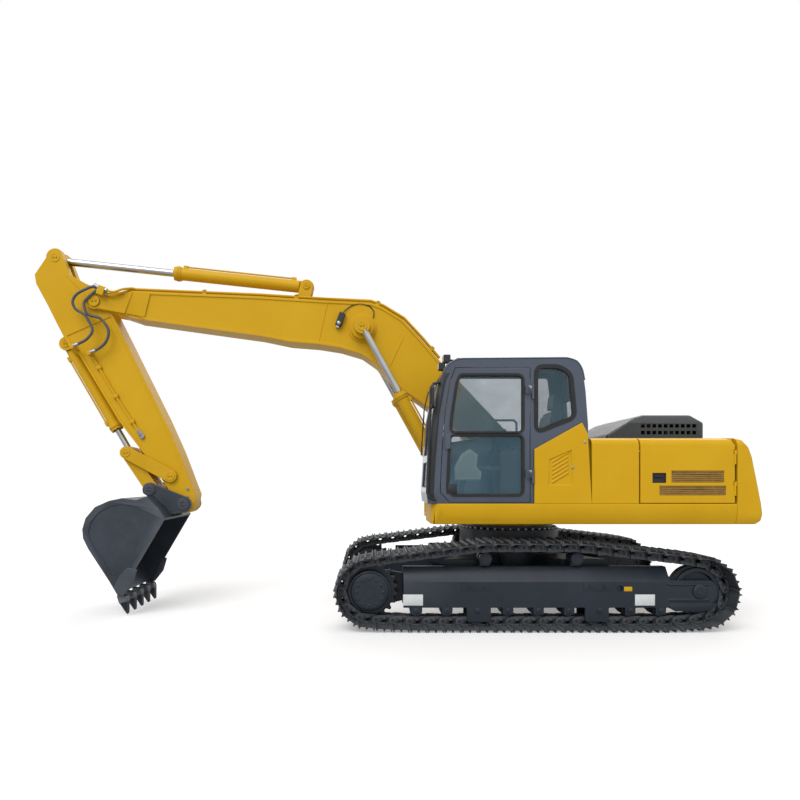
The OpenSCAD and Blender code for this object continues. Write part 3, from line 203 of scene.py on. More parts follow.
# Moulded reflector plastic: deep red under a hard clear gloss.
red_lens = finish("red_lens", "#7E1512", "#94201A", 20, 4, (0.12, 0.20), 0.05, Coat_Weight=0.8)
# Ribbed lamp lens: pale and bright, with a broken shine.
clear_lens = finish("ribbed_lamp_lens", "#B9C0C4", "#D3D8DA", 15, 5, (0.10, 0.18), 0.40, Coat_Weight=1.0)


def woven(name, deep, pale, thread_mm):
    """Coarse flat-woven cloth, drawn with threads wide enough to show."""
    made = bpy.data.materials.new(name)
    made.use_nodes = True
    tree = made.node_tree
    shader = tree.nodes["Principled BSDF"]
    where = add(tree, "TexCoord").outputs["Object"]
    warp = add(tree, "TexWave", {"Vector": where, "Scale": 0.32 / (thread_mm * MM)}, bands_direction="Y")
    weft = add(tree, "TexWave", {"Vector": where, "Scale": 0.32 / (thread_mm * MM)}, bands_direction="X")
    weave = add(tree, "Math", {0: warp.outputs["Fac"], 1: weft.outputs["Fac"]}, operation="MULTIPLY").outputs[0]
    tone = add(tree, "Mix", {0: weave, 6: linear(deep), 7: linear(pale)}, data_type="RGBA").outputs[2]
    relief = add(tree, "Bump", {"Height": weave, "Distance": 0.6 * MM, "Strength": 0.5}).outputs[0]
    tree.links.new(tone, shader.inputs["Base Color"])
    tree.links.new(relief, shader.inputs["Normal"])
    shader.inputs["Roughness"].default_value = 0.85
    shader.inputs["Sheen Weight"].default_value = 0.3
    return made


# Flat-woven pale seat cover; its 1 mm threads are drawn 4 mm wide so that they show.
seat_cloth = woven("flat_woven_seat_cloth", "#7C857F", "#B2BAB2", 4)


def pane(name, tint, cover):
    """Toughened tinted glass: mostly see-through, with a hard clear reflection and a faint smear."""
    made = bpy.data.materials.new(name)
    made.use_nodes = True
    tree = made.node_tree
    shader = tree.nodes["Principled BSDF"]
    where = add(tree, "TexCoord").outputs["Object"]
    smear = add(tree, "TexNoise", {"Vector": where, "Scale": 2.2, "Detail": 3.0})
    haze = add(tree, "MapRange", {0: smear.outputs["Fac"], 1: 0.3, 2: 0.7, 3: cover - 0.06, 4: cover + 0.06})
    tree.links.new(haze.outputs[0], shader.inputs["Alpha"])
    shader.inputs["Base Color"].default_value = linear(tint)
    shader.inputs["Roughness"].default_value = 0.04
    shader.inputs["Coat Weight"].default_value = 1.0
    return made


# Door glass: a light blue tint that leaves the seat and levers in view.
clear_glass = pane("clear_cab_glass", "#3E7084", 0.24)
# Fixed glass: the same tint, deeper, so that the cab reads darker behind the door.
smoked_glass = pane("smoked_cab_glass", "#2F5767", 0.30)


# Modelling
def piece(name, bm, material, body, replaces=(), smooth=35, outward=True):
    """Makes a mesh a piece of the object that rides on a body."""
    if outward:
        bmesh.ops.remove_doubles(bm, verts=bm.verts, dist=0.01 * MM)
        bmesh.ops.recalc_face_normals(bm, faces=bm.faces)
    mesh = bpy.data.meshes.new(name)
    bm.to_mesh(mesh)
    bm.free()
    mesh.materials.append(material)
    mesh.shade_smooth()
    mesh.set_sharp_from_angle(angle=math.radians(smooth))
    made = bpy.data.objects.new(name, mesh)
    scene.collection.objects.link(made)
    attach(made, body)
    if replaces:
        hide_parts(*replaces)
    return made


def round_edges(bm, edges, width):
    """Rounds edges with a bevel of two steps."""
    bmesh.ops.bevel(bm, geom=list(edges), offset=width * MM, segments=2, profile=0.5, affect="EDGES",
                    clamp_overlap=True, material=-1)


def slab(bm, low, high, place=MACHINE, edge=0.0):
    """A block between two corners, with rounded edges."""
    low, high = Vector(low), Vector(high)
    size = Matrix.Diagonal((*(high - low), 1))
    made = bmesh.ops.create_cube(bm, size=1, matrix=place @ Matrix.Translation((low + high) / 2) @ size)
    if edge:
        round_edges(bm, {e for v in made["verts"] for e in v.link_edges}, edge)


def prism(bm, outline, low, high, place=MACHINE, edge=0.0):
    """An outline in the side plane, drawn out across the machine."""
    face = bm.faces.new([bm.verts.new(place @ Vector((x, low, z))) for x, z in outline])
    made = bmesh.ops.extrude_face_region(bm, geom=[face])["geom"]
    verts = [g for g in made if isinstance(g, bmesh.types.BMVert)]
    across = place.to_3x3() @ Vector((0, high - low, 0))
    bmesh.ops.translate(bm, verts=verts, vec=across)
    if edge:
        ends = [face, *(g for g in made if isinstance(g, bmesh.types.BMFace))]
        round_edges(bm, {e for f in ends for e in f.edges}, edge)


def turned(bm, profile, start, axis, place=MACHINE, steps=24):
    """A shape turned from (distance along the axis, radius) points about an axis through start."""
    axis = Vector(axis).normalized()
    side = axis.orthogonal().normalized()
    line = [bm.verts.new(place @ (Vector(start) + axis * d + side * r)) for d, r in profile]
    edges = [bm.edges.new(pair) for pair in zip(line, line[1:])]
    bmesh.ops.spin(bm, geom=[*line, *edges], cent=place @ Vector(start), axis=place.to_3x3() @ axis,
                   angle=math.tau, steps=steps, use_merge=True)


def bolt(bm, start, axis, across, place=MACHINE):
    """A hexagon head on its washer; across is the width over the flats."""
    turned(bm, [(0, 0), (0, across * 0.72), (across * 0.12, across * 0.72), (across * 0.12, 0)],
           start, axis, place, 12)
    low = Vector(start) + Vector(axis).normalized() * across * 0.12
    turned(bm, [(0, 0), (0, across * 0.58), (across * 0.5, across * 0.58), (across * 0.6, across * 0.46),
                (across * 0.6, 0)], low, axis, place, 6)


def rounded(points, radius, steps=5):
    """The same path with its corners turned on a radius."""
    path = [Vector(points[0])]
    for a, b, c in zip(points, points[1:], points[2:]):
        a, b, c = Vector(a), Vector(b), Vector(c)
        cut = min(radius, (a - b).length * 0.45, (c - b).length * 0.45)
        start, end = b + (a - b).normalized() * cut, b + (c - b).normalized() * cut
        for i in range(steps + 1):
            t = i / steps
            path.append(start * (1 - t) ** 2 + b * 2 * t * (1 - t) + end * t * t)
    return path + [Vector(points[-1])]


def tube_mesh(paths, radius, sides=12):
    """Round bars along paths given in metres, as one mesh."""
    line = bpy.data.curves.new("line", "CURVE")
    line.dimensions = "3D"
    line.bevel_depth = radius * MM
    line.bevel_resolution = sides // 4
    line.use_fill_caps = True
    for path in paths:
        spline = line.splines.new("POLY")
        spline.points.add(len(path) - 1)
        for point, where in zip(spline.points, path):
            point.co = (*where, 1)
    holder = bpy.data.objects.new("line", line)
    mesh = bpy.data.meshes.new_from_object(holder)
    bpy.data.objects.remove(holder)
    bm = bmesh.new()
    bm.from_mesh(mesh)
    bpy.data.meshes.remove(mesh)
    return bm


def tubes(name, paths, radius, material, body, place=MACHINE, bend=0, replaces=()):
    """Bent bars or pipes along paths in millimetres."""
    lines = [[place @ p for p in (rounded(path, bend) if bend else map(Vector, path))] for path in paths]
    return piece(name, tube_mesh(lines, radius), material, body, replaces, 50)


def has_room(edge, room):
    """Whether no other corner of the two faces comes near this edge, so that rounding it can't fold them."""
    a, b = (v.co for v in edge.verts)
    line, size = b - a, (b - a).length_squared
    for face in edge.link_faces:
        for v in face.verts:
            if v not in edge.verts:
                t = min(max((v.co - a).dot(line) / size, 0), 1)
                if (v.co - a - line * t).length < room:
                    return False
    return True


STEP_FROM, STEP_SHARE, STEP_SIDE = 440, 0.484, -600
FULLER, FULL_FROM, FULL_OVER = 0.08, 136, 283


def step_back(p):
    """The right front of the deck, with its box and rail, stops short so that the cab hides it."""
    if p.y < STEP_SIDE and p.x > STEP_FROM:
        p.x = STEP_FROM + (p.x - STEP_FROM) * STEP_SHARE
    return p


def fuller(p):
    """The bucket's back stands out as full as the photograph's, from its ears down."""
    p.x *= 1 + FULLER * min(max((-p.z - FULL_FROM) / FULL_OVER, 0), 1)
    return p


RESHAPED = {"deck": (MACHINE, step_back), "tool_box": (MACHINE, step_back), "handrails": (MACHINE, step_back),
            "bucket": (BUCKET, fuller), "bucket_teeth": (BUCKET, fuller)}


def skin(node, material, body, slot, edge=5.0):
    """A copy of a solid with its sharp edges rounded, so that they catch the light."""
    bm = bmesh.new()
    bm.from_mesh(frame["nodes"][node].data)
    bmesh.ops.remove_doubles(bm, verts=bm.verts, dist=0.02 * MM)
    if node in RESHAPED:
        place, shape = RESHAPED[node]
        back = place.inverted()
        for v in bm.verts:
            v.co = place @ shape(back @ v.co)
    bmesh.ops.dissolve_limit(bm, angle_limit=math.radians(0.5), verts=bm.verts, edges=bm.edges)
    if edge:
        sharp = [e for e in bm.edges if len(e.link_faces) == 2 and e.calc_face_angle(0) > math.radians(32)
                 and e.calc_length() > 1.2 * edge * MM and has_room(e, 1.7 * edge * MM)]
        bmesh.ops.bevel(bm, geom=sharp, offset=edge * MM, segments=2, profile=0.5, affect="EDGES",
                        clamp_overlap=False, material=-1)
    made = piece(node + "_skin", bm, material, body, (node,), 40, outward=False)
    soft = made.modifiers.new("even_normals", "WEIGHTED_NORMAL")
    soft.keep_sharp = True
    return made


def repaint(made, material, place, test):
    """Gives another finish to the faces whose centre, in that place's millimetres, passes the test."""
    made.data.materials.append(material)
    index = len(made.data.materials) - 1
    back = place.inverted()
    for face in made.data.polygons:
        if test(back @ face.center):
            face.material_index = index


# Camera at the left side of the machine, with the photograph's frame shifted to hold the boom
CAMERA_Y, CAMERA_Z, CAMERA_X = 8.9, 1.715, 1810
camera = bpy.data.objects.new("camera", bpy.data.cameras.new("camera"))
camera.location = (slew_x + CAMERA_X * MM, CAMERA_Y, CAMERA_Z)
camera.rotation_euler = (math.radians(90), 0, math.radians(180))
camera.data.sensor_width = 36
camera.data.lens = 30.15
camera.data.shift_x = 0.035
camera.data.shift_y = 0.0975
scene.collection.objects.link(camera)
scene.camera = camera


# Two hoses from the boom's pipes across the joint to the arm. Each route is listed point by point, the first
# points in the boom's millimetres past its tip pin, the others in the arm's.
HOSE_R = 18
BOOM_TIP = Matrix.Translation(pin("arm_swing")) @ BOOM.to_3x3().to_4x4()
hose_a_boom = [(-24.8, 176), (5, 176), (82, 132), (202, 4)]
hose_a_arm = [(-77, 237), (29, 242), (123, 175), (219, 152), (369, 154), (440, 270), (450, 380), (450, 454.8)]
hose_b_boom = [(-24.8, 131), (0, 131), (72, 14)]
hose_b_arm = [(-7, 128), (139, 138), (247, 14), (427, -26), (553, 60), (600, 190), (600, 299.8)]


def smooth_route(points, steps=3):
    """A curve through the points, rounded as a stiff hose lies."""
    ends = [2 * points[0] - points[1], *points, 2 * points[-1] - points[-2]]
    path = []
    for a, b, c, d in zip(ends, ends[1:], ends[2:], ends[3:]):
        for i in range(steps):
            t = i / steps
            path.append((2 * b + (c - a) * t + (2 * a - 5 * b + 4 * c - d) * t ** 2
                         + (3 * b - a - 3 * c + d) * t ** 3) / 2)
    return path + [points[-1]]


def hose(name, node, across, on_boom, on_arm):
    """A hose along its route, bending across the arm's joint, with a ferrule at each end."""
    points = [BOOM_TIP @ Vector((u, across, v)) for u, v in on_boom]
    points += [ARM @ Vector((u, across, v)) for u, v in on_arm]
    path = smooth_route(points)
    bm = tube_mesh([path], HOSE_R, 16)
    mesh = bpy.data.meshes.new(name)
    bm.to_mesh(mesh)
    bm.free()
    # The hose's grey-black colour is black rubber with a painted sheen.
    mesh.materials.append(hose_cover_painted_sheen)
    mesh.shade_smooth()
    mesh.set_sharp_from_angle(angle=math.radians(50))
    made = bpy.data.objects.new(name, mesh)
    scene.collection.objects.link(made)
    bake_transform(made)
    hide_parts(node)
    for start, toward, hold in ((path[0], path[1], "boom"), (path[-1], path[-2], "arm")):
        ferrule = bmesh.new()
        axis = (toward - start).normalized()
        turned(ferrule, [(-0.004, 0.0), (-0.004, 0.026), (0.012, 0.026), (0.014, 0.023), (0.05, 0.0235),
                         (0.052, 0.0222), (0.066, 0.0222), (0.068, 0.0185)], start, axis, Matrix(), 18)
        piece(name + "_ferrule_" + hold, ferrule, zinc_plate, hold)
    return made


hose("hose_outer", "hose_a", 300, hose_a_boom, hose_a_arm)
hose("hose_inner", "hose_b", 260, hose_b_boom, hose_b_arm)


# Tracks: shoes, lapped links and pins laid along the same belt as the solids
TRACK_Y = sum(p.y for p in box_mm("track_left")) / 2
SHOE_HALF = (box_mm("track_left")[1].y - box_mm("track_left")[0].y) / 2
SHOE_COUNT = 50
RAIL, SEAT, PLATE, DROP = 48, 55, 67, 93
ROLLER_R, ROLLER_Z, FIRST_ROLLER, LAST_ROLLER = 78, 219, 1311, -1445
CARRIER_X, CARRIER_Z = 520, 795
SPROCKET, IDLER, PIN_R = (1835, 437), (-1880, 437), 320
belt = [(LAST_ROLLER, ROLLER_Z, ROLLER_R + RAIL), (FIRST_ROLLER, ROLLER_Z, ROLLER_R + RAIL), (*SPROCKET, PIN_R),
        (CARRIER_X, CARRIER_Z, ROLLER_R + RAIL), (-CARRIER_X, CARRIER_Z, ROLLER_R + RAIL), (*IDLER, PIN_R)]


def belt_pins():
    """Pin centres, evenly spaced along the belt round the six wheels."""
    def leave(a, b):
        d = Vector((b[0] - a[0], b[1] - a[1]))
        return math.atan2(d.y, d.x) - math.acos((a[2] - b[2]) / d.length)

    turns = [leave(belt[i], belt[(i + 1) % 6]) for i in range(6)]
    stretches = []
    for i, (x, z, r) in enumerate(belt):
        sweep = (turns[i] - turns[i - 1]) % math.tau
        stretches.append((r * sweep, lambda s, x=x, z=z, r=r, t=turns[i - 1]:
                          Vector((x + r * math.cos(t + s / r), z + r * math.sin(t + s / r)))))
        a = Vector((x + r * math.cos(turns[i]), z + r * math.sin(turns[i])))
        nx, nz, nr = belt[(i + 1) % 6]
        b = Vector((nx + nr * math.cos(turns[i]), nz + nr * math.sin(turns[i])))
        stretches.append(((b - a).length, lambda s, a=a, b=b: a + (b - a).normalized() * s))
    total = sum(s for s, _ in stretches)
    pins = []
    for k in range(SHOE_COUNT):
        s = total * k / SHOE_COUNT
        for size, point in stretches:
            if s <= size:
                pins.append(point(s))
                break
            s -= size
    return pins, total / SHOE_COUNT


pins, PITCH = belt_pins()


def half_round(x, r, start, end, steps=6):
    """Points of an arc about (x, 0), between two angles in degrees."""
    return [(x + r * math.cos(math.radians(start + (end - start) * i / steps)),
             r * math.sin(math.radians(start + (end - start) * i / steps))) for i in range(steps + 1)]


def shoe_and_links(bm, place):
    """One shoe with its three bars, two pairs of lapped link plates, a pin and a bush."""
    h, p = PITCH / 2, PITCH
    bars = [(-0.49 * p, SEAT + 2), (-0.49 * p, PLATE), (-0.46 * p, DROP), (-0.42 * p, DROP), (-0.35 * p, PLATE),
            (-0.08 * p, PLATE), (-0.025 * p, DROP), (0.025 * p, DROP), (0.08 * p, PLATE), (0.35 * p, PLATE),
            (0.42 * p, DROP), (0.46 * p, DROP), (0.49 * p, PLATE + 6), (0.53 * p, PLATE - 4), (0.54 * p, SEAT + 1),
            (0.70 * p, SEAT - 2), (0.70 * p, SEAT - 10), (0.50 * p, SEAT - 10), (0.47 * p, SEAT + 2)]
    prism(bm, bars, -SHOE_HALF, SHOE_HALF, place)
    for s in SIDES:
        front = [*half_round(-h, 42, 90, 270), (-h + 30, -RAIL), (12, -RAIL), (12, -8), (-22, 4), (-22, 30), (12, 40),
                 (12, SEAT), (-h + 34, SEAT)]
        rear = [*half_round(h, 42, -90, 90), (h - 34, SEAT), (-12, SEAT), (-12, 40), (22, 30), (22, 4), (-12, -8),
                (-12, -RAIL), (h - 30, -RAIL)]
        prism(bm, front, s * 60, s * 84, place)
        prism(bm, rear, s * 82, s * 106, place)
        turned(bm, [(0, 24), (6, 24), (9, 20), (9, 9), (5, 7), (5, 0)], (h, s * 105, 0), (0, s, 0), place, 12)
        for x in (-0.2, 0.2):
            turned(bm, [(0, 15), (9, 15), (11, 12), (11, 0)], (x * p, s * 82, PLATE), (0, 0, 1), place, 6)
            turned(bm, [(0, 16), (14, 16), (14, 0)], (x * p, s * 94, SEAT - 2), (0, 0, -1), place, 6)
    turned(bm, [(-60, 30), (60, 30)], (h, 0, 0), (0, 1, 0), place, 10)


template = bmesh.new()
shoe_and_links(template, Matrix.Scale(MM, 4))
bmesh.ops.recalc_face_normals(template, faces=template.faces)
link_mesh = bpy.data.meshes.new("link")
template.to_mesh(link_mesh)
template.free()
for side, node in ((1, "track_left"), (-1, "track_right")):
    chain = bmesh.new()
    for a, b in zip(pins, pins[1:] + pins[:1]):
        u = (b - a).normalized()
        mid = MACHINE @ Vector(((a.x + b.x) / 2, side * TRACK_Y, (a.y + b.y) / 2))
        axes = Matrix(((u.x, 0, u.y), (0, 1, 0), (u.y, 0, -u.x))).to_4x4()
        before = len(chain.verts)
        chain.from_mesh(link_mesh)
        chain.verts.ensure_lookup_table()
        bmesh.ops.transform(chain, matrix=Matrix.Translation(mid) @ axes, verts=chain.verts[before:])
    bmesh.ops.reverse_faces(chain, faces=chain.faces)
    piece(node + "_chain", chain, oxide_steel, "undercarriage", (node,), 35, outward=False)
bpy.data.meshes.remove(link_mesh)

# Rounded copies of the solids in their finishes: finish, body, slot and edge radius
DRESSED = {
    "lower_frame": (chassis_satin, "undercarriage", "dark_paint", 6),
    "track_frame_left": (chassis_satin, "undercarriage", "dark_paint", 7),
    "track_frame_right": (chassis_satin, "undercarriage", "dark_paint", 7),
    "final_drive_left": (chassis_satin, "undercarriage", "dark_paint", 6),
    "final_drive_right": (chassis_satin, "undercarriage", "dark_paint", 6),
    "idler_left": (chassis_satin, "undercarriage", "track_steel", 6),
    "idler_right": (chassis_satin, "undercarriage", "track_steel", 6),
    "rollers_left": (chassis_satin, "undercarriage", "track_steel", 3),
    "rollers_right": (chassis_satin, "undercarriage", "track_steel", 3),
    "deck": (yellow_enamel, "house", "yellow_paint", 8),
    "counterweight": (yellow_enamel, "house", "yellow_paint", 14),
    "engine_block": (cast_iron, "house", "grey_paint", 12),
    "side_panel": (yellow_enamel, "house", "yellow_paint", 7),
    "house_frame": (yellow_enamel, "house", "yellow_paint", 4),
    "louvre_panel": (yellow_enamel, "house", "yellow_paint", 6),
    "fuel_tank": (yellow_enamel, "house", "yellow_paint", 28),
    "oil_tank": (yellow_enamel, "house", "yellow_paint", 28),
    "tool_box": (yellow_enamel, "house", "yellow_paint", 18),
    "valve_block": (cast_iron, "house", "grey_paint", 8),
    "handrails": (black_plastic, "house", "black_parts", 0),
    "mirror_head": (black_plastic, "house", "black_parts", 12),
    "cab_lamps": (black_plastic, "house", "black_parts", 8),
    "cab_floor": (graphite_enamel, "house", "cab_paint", 6),
    "cab_roof": (graphite_enamel, "house", "cab_paint", 8),
    "cab_left_side": (graphite_enamel, "house", "cab_paint", 4),
    "cab_right_side": (graphite_enamel, "house", "cab_paint", 4),
    "cab_front": (graphite_enamel, "house", "cab_paint", 8),
    "cab_rear_wall": (graphite_enamel, "house", "cab_paint", 8),
    "seat": (black_plastic, "house", "seat_fabric", 12),
    "controls": (black_plastic, "house", "black_plastic", 10),
    "cab_door": (graphite_enamel, "cab_door_body", "cab_paint", 0),
    "service_door": (yellow_enamel, "service_door_body", "yellow_paint", 6),
    "pump_door": (yellow_enamel, "pump_door_body", "yellow_paint", 6),
    "hood": (hood_grey, "hood_body", "grey_paint", 24),
    "boom": (yellow_enamel, "boom", "yellow_paint", 6),
    "boom_pipes": (yellow_enamel, "boom", "black_parts", 0),
    "boom_lamp": (black_plastic, "boom", "black_parts", 8),
    "boom_cylinders": (yellow_enamel, "boom_barrels", "yellow_paint", 5),
    "boom_rods": (hard_chrome, "boom_rods", "chrome_rod", 4),
    "arm": (yellow_enamel, "arm", "yellow_paint", 6),
    "arm_pipe": (yellow_enamel, "arm", "yellow_paint", 0),
    "arm_cylinder": (yellow_enamel, "arm_barrel", "yellow_paint", 5),
    "arm_rod": (hard_chrome, "arm_rod_body", "chrome_rod", 4),
    "bucket_cylinder": (yellow_enamel, "bucket_barrel", "yellow_paint", 5),
    "bucket_rod": (hard_chrome, "bucket_rod_body", "chrome_rod", 4),
    "rocker_links": (cast_yellow, "rocker", "yellow_paint", 6),
    "bucket_link": (cast_yellow, "link", "yellow_paint", 6),
    "bucket": (bucket_paint, "bucket", "dark_paint", 6),
    "bucket_teeth": (tooth_steel, "bucket", "track_steel", 5),
}
skins = {node: skin(node, *look) for node, look in DRESSED.items()}
EYE_MM = 105
for node, line in (("boom_rods", BOOM_CYLINDER), ("arm_rod", ARM_CYLINDER), ("bucket_rod", BUCKET_CYLINDER)):
    far = max((line.inverted() @ v.co).x for v in skins[node].data.vertices)
    repaint(skins[node], cast_yellow, line, lambda p, far=far: p.x > far - 2 * EYE_MM)
skin("cab_door_glass", clear_glass, "cab_door_body", "glass", 0)
skin("cab_glass", smoked_glass, "house", "glass", 0)


# Front equipment: pin caps, welds, pipe clamps, the work lamp's cable and the cylinders' heads
def pin_cap(bm, spot, across, r, place=MACHINE):
    """A retaining plate on the end of a pin, with a raised rim and two bolts."""
    s = 1 if across > 0 else -1
    start = (spot[0], across, spot[1])
    turned(bm, [(0, 0), (0, r), (5, r), (8, r - 3), (8, r * 0.62), (5, r * 0.58), (5, 0)],
           start, (0, s, 0), place, 28)
    for x in (-0.3, 0.3):
        bolt(bm, (spot[0] + x * r, across + 5 * s, spot[1]), (0, s, 0), r * 0.3, place)


def spot_mm(joint):
    """Where a joint's pin stands in the side plane."""
    at = place_mm(pin(joint))
    return at.x, at.z


def tip_mm(line, length):
    """Where a cylinder's rod eye stands in the side plane."""
    at = place_mm(line @ Vector((length, 0, 0)))
    return at.x, at.z


ends_mm = {node: max((line.inverted() @ v.co).x for v in skins[node].data.vertices) for node, line in
           (("boom_cylinders", BOOM_CYLINDER), ("arm_cylinder", ARM_CYLINDER), ("bucket_cylinder", BUCKET_CYLINDER))}
# Each cylinder's pin-to-pin length at rest gives its rod's eye.
BOOM_EYE, ARM_EYE, BUCKET_EYE = (tip_mm(line, length) for line, length in (
    (BOOM_CYLINDER, 2601.8), (ARM_CYLINDER, 3291.2), (BUCKET_CYLINDER, 1662.4)))
# Body, slot, finish, and for each pin its place, the cap's distance from the middle and its radius
CAPS = (
    ("house", "yellow_paint", cast_yellow,
     ((spot_mm("boom_lift"), 272, 72), (spot_mm("boom_barrel_tilt"), 415, 60))),
    ("boom_rods", "chrome_rod", cast_yellow, ((BOOM_EYE, 373, 66),)),
    ("boom", "yellow_paint", cast_yellow, ((spot_mm("arm_swing"), 243, 72), (spot_mm("arm_barrel_tilt"), 95, 44))),
    ("arm", "yellow_paint", cast_yellow, ((ARM_EYE, 170, 64), (spot_mm("bucket_barrel_tilt"), 96, 52))),
    ("rocker", "yellow_paint", cast_yellow, ((BUCKET_EYE, 214, 58), (spot_mm("rocker_turn"), 214, 60))),
    ("bucket", "dark_paint", bucket_paint, ((spot_mm("link_turn"), 281, 54), (spot_mm("bucket_curl"), 281, 58))),
)
for body, slot, look, spots in CAPS:
    caps = bmesh.new()
    for spot, across, r in spots:
        for side in SIDES:
            pin_cap(caps, spot, side * across, r)
    piece(body + "_pin_caps", caps, look, body)

BOOM_SIDE, ARM_SIDE = 198, 170
seams = [[(x, side * BOOM_SIDE, z) for x, z in seam] for side in SIDES
         for seam in (((2881, 1050), (2806, 480)), ((1798, 925), (1831, 535)))]
tubes("boom_weld_seams", seams, 7, yellow_enamel, "boom", BOOM)
seams = [[(x, side * ARM_SIDE, z) for x, z in ((-500, 232), (-180, 100), (176, -22))] for side in SIDES]
tubes("arm_weld_seams", seams, 6, yellow_enamel, "arm", ARM)

# The boom's top line carries two pairs of pipes, strapped down in four places.
boom_top = [(5279, 304), (3723, 801), (2912, 1042), (2350, 1219), (2186, 1218), (1882, 1157), (1582, 1005),
            (1277, 833)]
PIPE_R, PIPE_GAP = 15, 17
PIPE_TOP = PIPE_GAP + 2 * PIPE_R
straps, strap_bolts = bmesh.new(), bmesh.new()
for i in (0, 1, 3, 6):
    a, b = (Vector((x, 0, z)) for x, z in boom_top[i:i + 2])
    u = (a - b).normalized()
    up = u.cross(Vector((0, 1, 0)))
    axes = Matrix((u, (0, 1, 0), up)).transposed().to_4x4()
    seat = BOOM @ Matrix.Translation(a * 0.45 + b * 0.55) @ axes
    for side in SIDES:
        low, high = sorted((side * 104, side * 191))
        slab(straps, (-26, low, PIPE_TOP - 1), (26, high, PIPE_TOP + 9), seat, 4)
        slab(straps, (-22, low + 28, PIPE_GAP), (22, high - 28, PIPE_TOP), seat, 2)
        bolt(strap_bolts, (0, side * 147.5, PIPE_TOP + 9), (0, 0, 1), 22, seat)
piece("pipe_straps", straps, cast_yellow, "boom")
piece("pipe_strap_bolts", strap_bolts, zinc_plate, "boom")
joins = [[(5288, 170, 335), (5325, 186, 328), (5400, 285, 262), (5490, 300, 176), (5602, 300, 176)],
         [(5288, 125, 335), (5330, 150, 322), (5400, 245, 225), (5500, 260, 131), (5602, 260, 131)]]
tubes("hose_block_pipes", joins, PIPE_R, yellow_enamel, "boom", BOOM, 60)
nuts = bmesh.new()
for y, z in ((300, 176), (260, 131)):
    turned(nuts, [(0, 14), (0, 26), (22, 26), (26, 22), (26, 14)], (5575, y, z), (1, 0, 0), BOOM, 6)
piece("hose_block_nuts", nuts, zinc_plate, "boom")

cable = [(2640, 228, 955), (2625, 214, 1010), (2566, 206, 1103), (2470, 206, 1160), (2340, 206, 1172),
         (2262, 206, 1120), (2250, 212, 1040)]
tubes("work_lamp_cable", [cable], 6, black_plastic, "boom", BOOM, 60)
bracket = bmesh.new()
turned(bracket, [(0, 0), (0, 20), (6, 24), (12, 24), (16, 16), (16, 0)], (2640, 256, 815), (0, 1, 0), BOOM, 20)
slab(bracket, (2618, 198, 752), (2662, 250, 784), BOOM, 4)
piece("work_lamp_bracket", bracket, zinc_plate, "boom")

clamps = bmesh.new()
for x, z in ((800, 309), (1230, 257), (1620, 195)):
    slab(clamps, (x - 22, 160, z - 34), (x + 22, 198, z + 34), ARM, 5)
    slab(clamps, (x - 22, -198, z - 34), (x + 22, -160, z + 34), ARM, 5)
piece("arm_pipe_clamps", clamps, cast_yellow, "arm")
fitting = bmesh.new()
turned(fitting, [(-60, 17), (-60, 26), (-22, 26), (-20, 31), (14, 31), (20, 24), (38, 24), (38, 0)],
       (1809, 176, 164), (609, 0, -98), ARM, 6)
turned(fitting, [(0, 0), (0, 34), (26, 34), (32, 26), (32, 0)], (1845, 160, 158), (0, 1, 0), ARM, 12)
for x, z in ((2798, -147), (2894, -105)):
    bolt(fitting, (x - 90, 170, z + 40), (0, 1, 0), 30, ARM)
piece("arm_pipe_fitting", fitting, zinc_plate, "arm")

# Node, line, body, places across the machine, the rod's radius and the barrel head's
HEADS = (("boom_cylinders", BOOM_CYLINDER, "boom_barrels", (335, -335), 42, 87),
         ("arm_cylinder", ARM_CYLINDER, "arm_barrel", (0,), 47, 92),
         ("bucket_cylinder", BUCKET_CYLINDER, "bucket_barrel", (0,), 40, 84))
for node, line, body, rows, rod_r, head_r in HEADS:
    heads, rings = bmesh.new(), bmesh.new()
    for y in rows:
        turned(rings, [(-2, rod_r + 20), (5, rod_r + 20), (9, rod_r + 16), (9, rod_r + 0.6), (-2, rod_r + 0.6)],
               (ends_mm[node], y, 0), (1, 0, 0), line, 32)
        turned(heads, [(-64, head_r - 1), (-64, head_r + 5), (-60, head_r + 7), (-34, head_r + 7), (-30, head_r + 5),
                       (-30, head_r - 1)], (ends_mm[node], y, 0), (1, 0, 0), line, 40)
        for k in range(8):
            t = math.tau * k / 8
            around = (ends_mm[node] - 1, y + (head_r - 13) * math.cos(t), (head_r - 13) * math.sin(t))
            bolt(heads, around, (1, 0, 0), 17, line)
    piece(node + "_wiper_rings", rings, seal_rubber, body)
    piece(node + "_head_bolts", heads, cast_yellow, body)

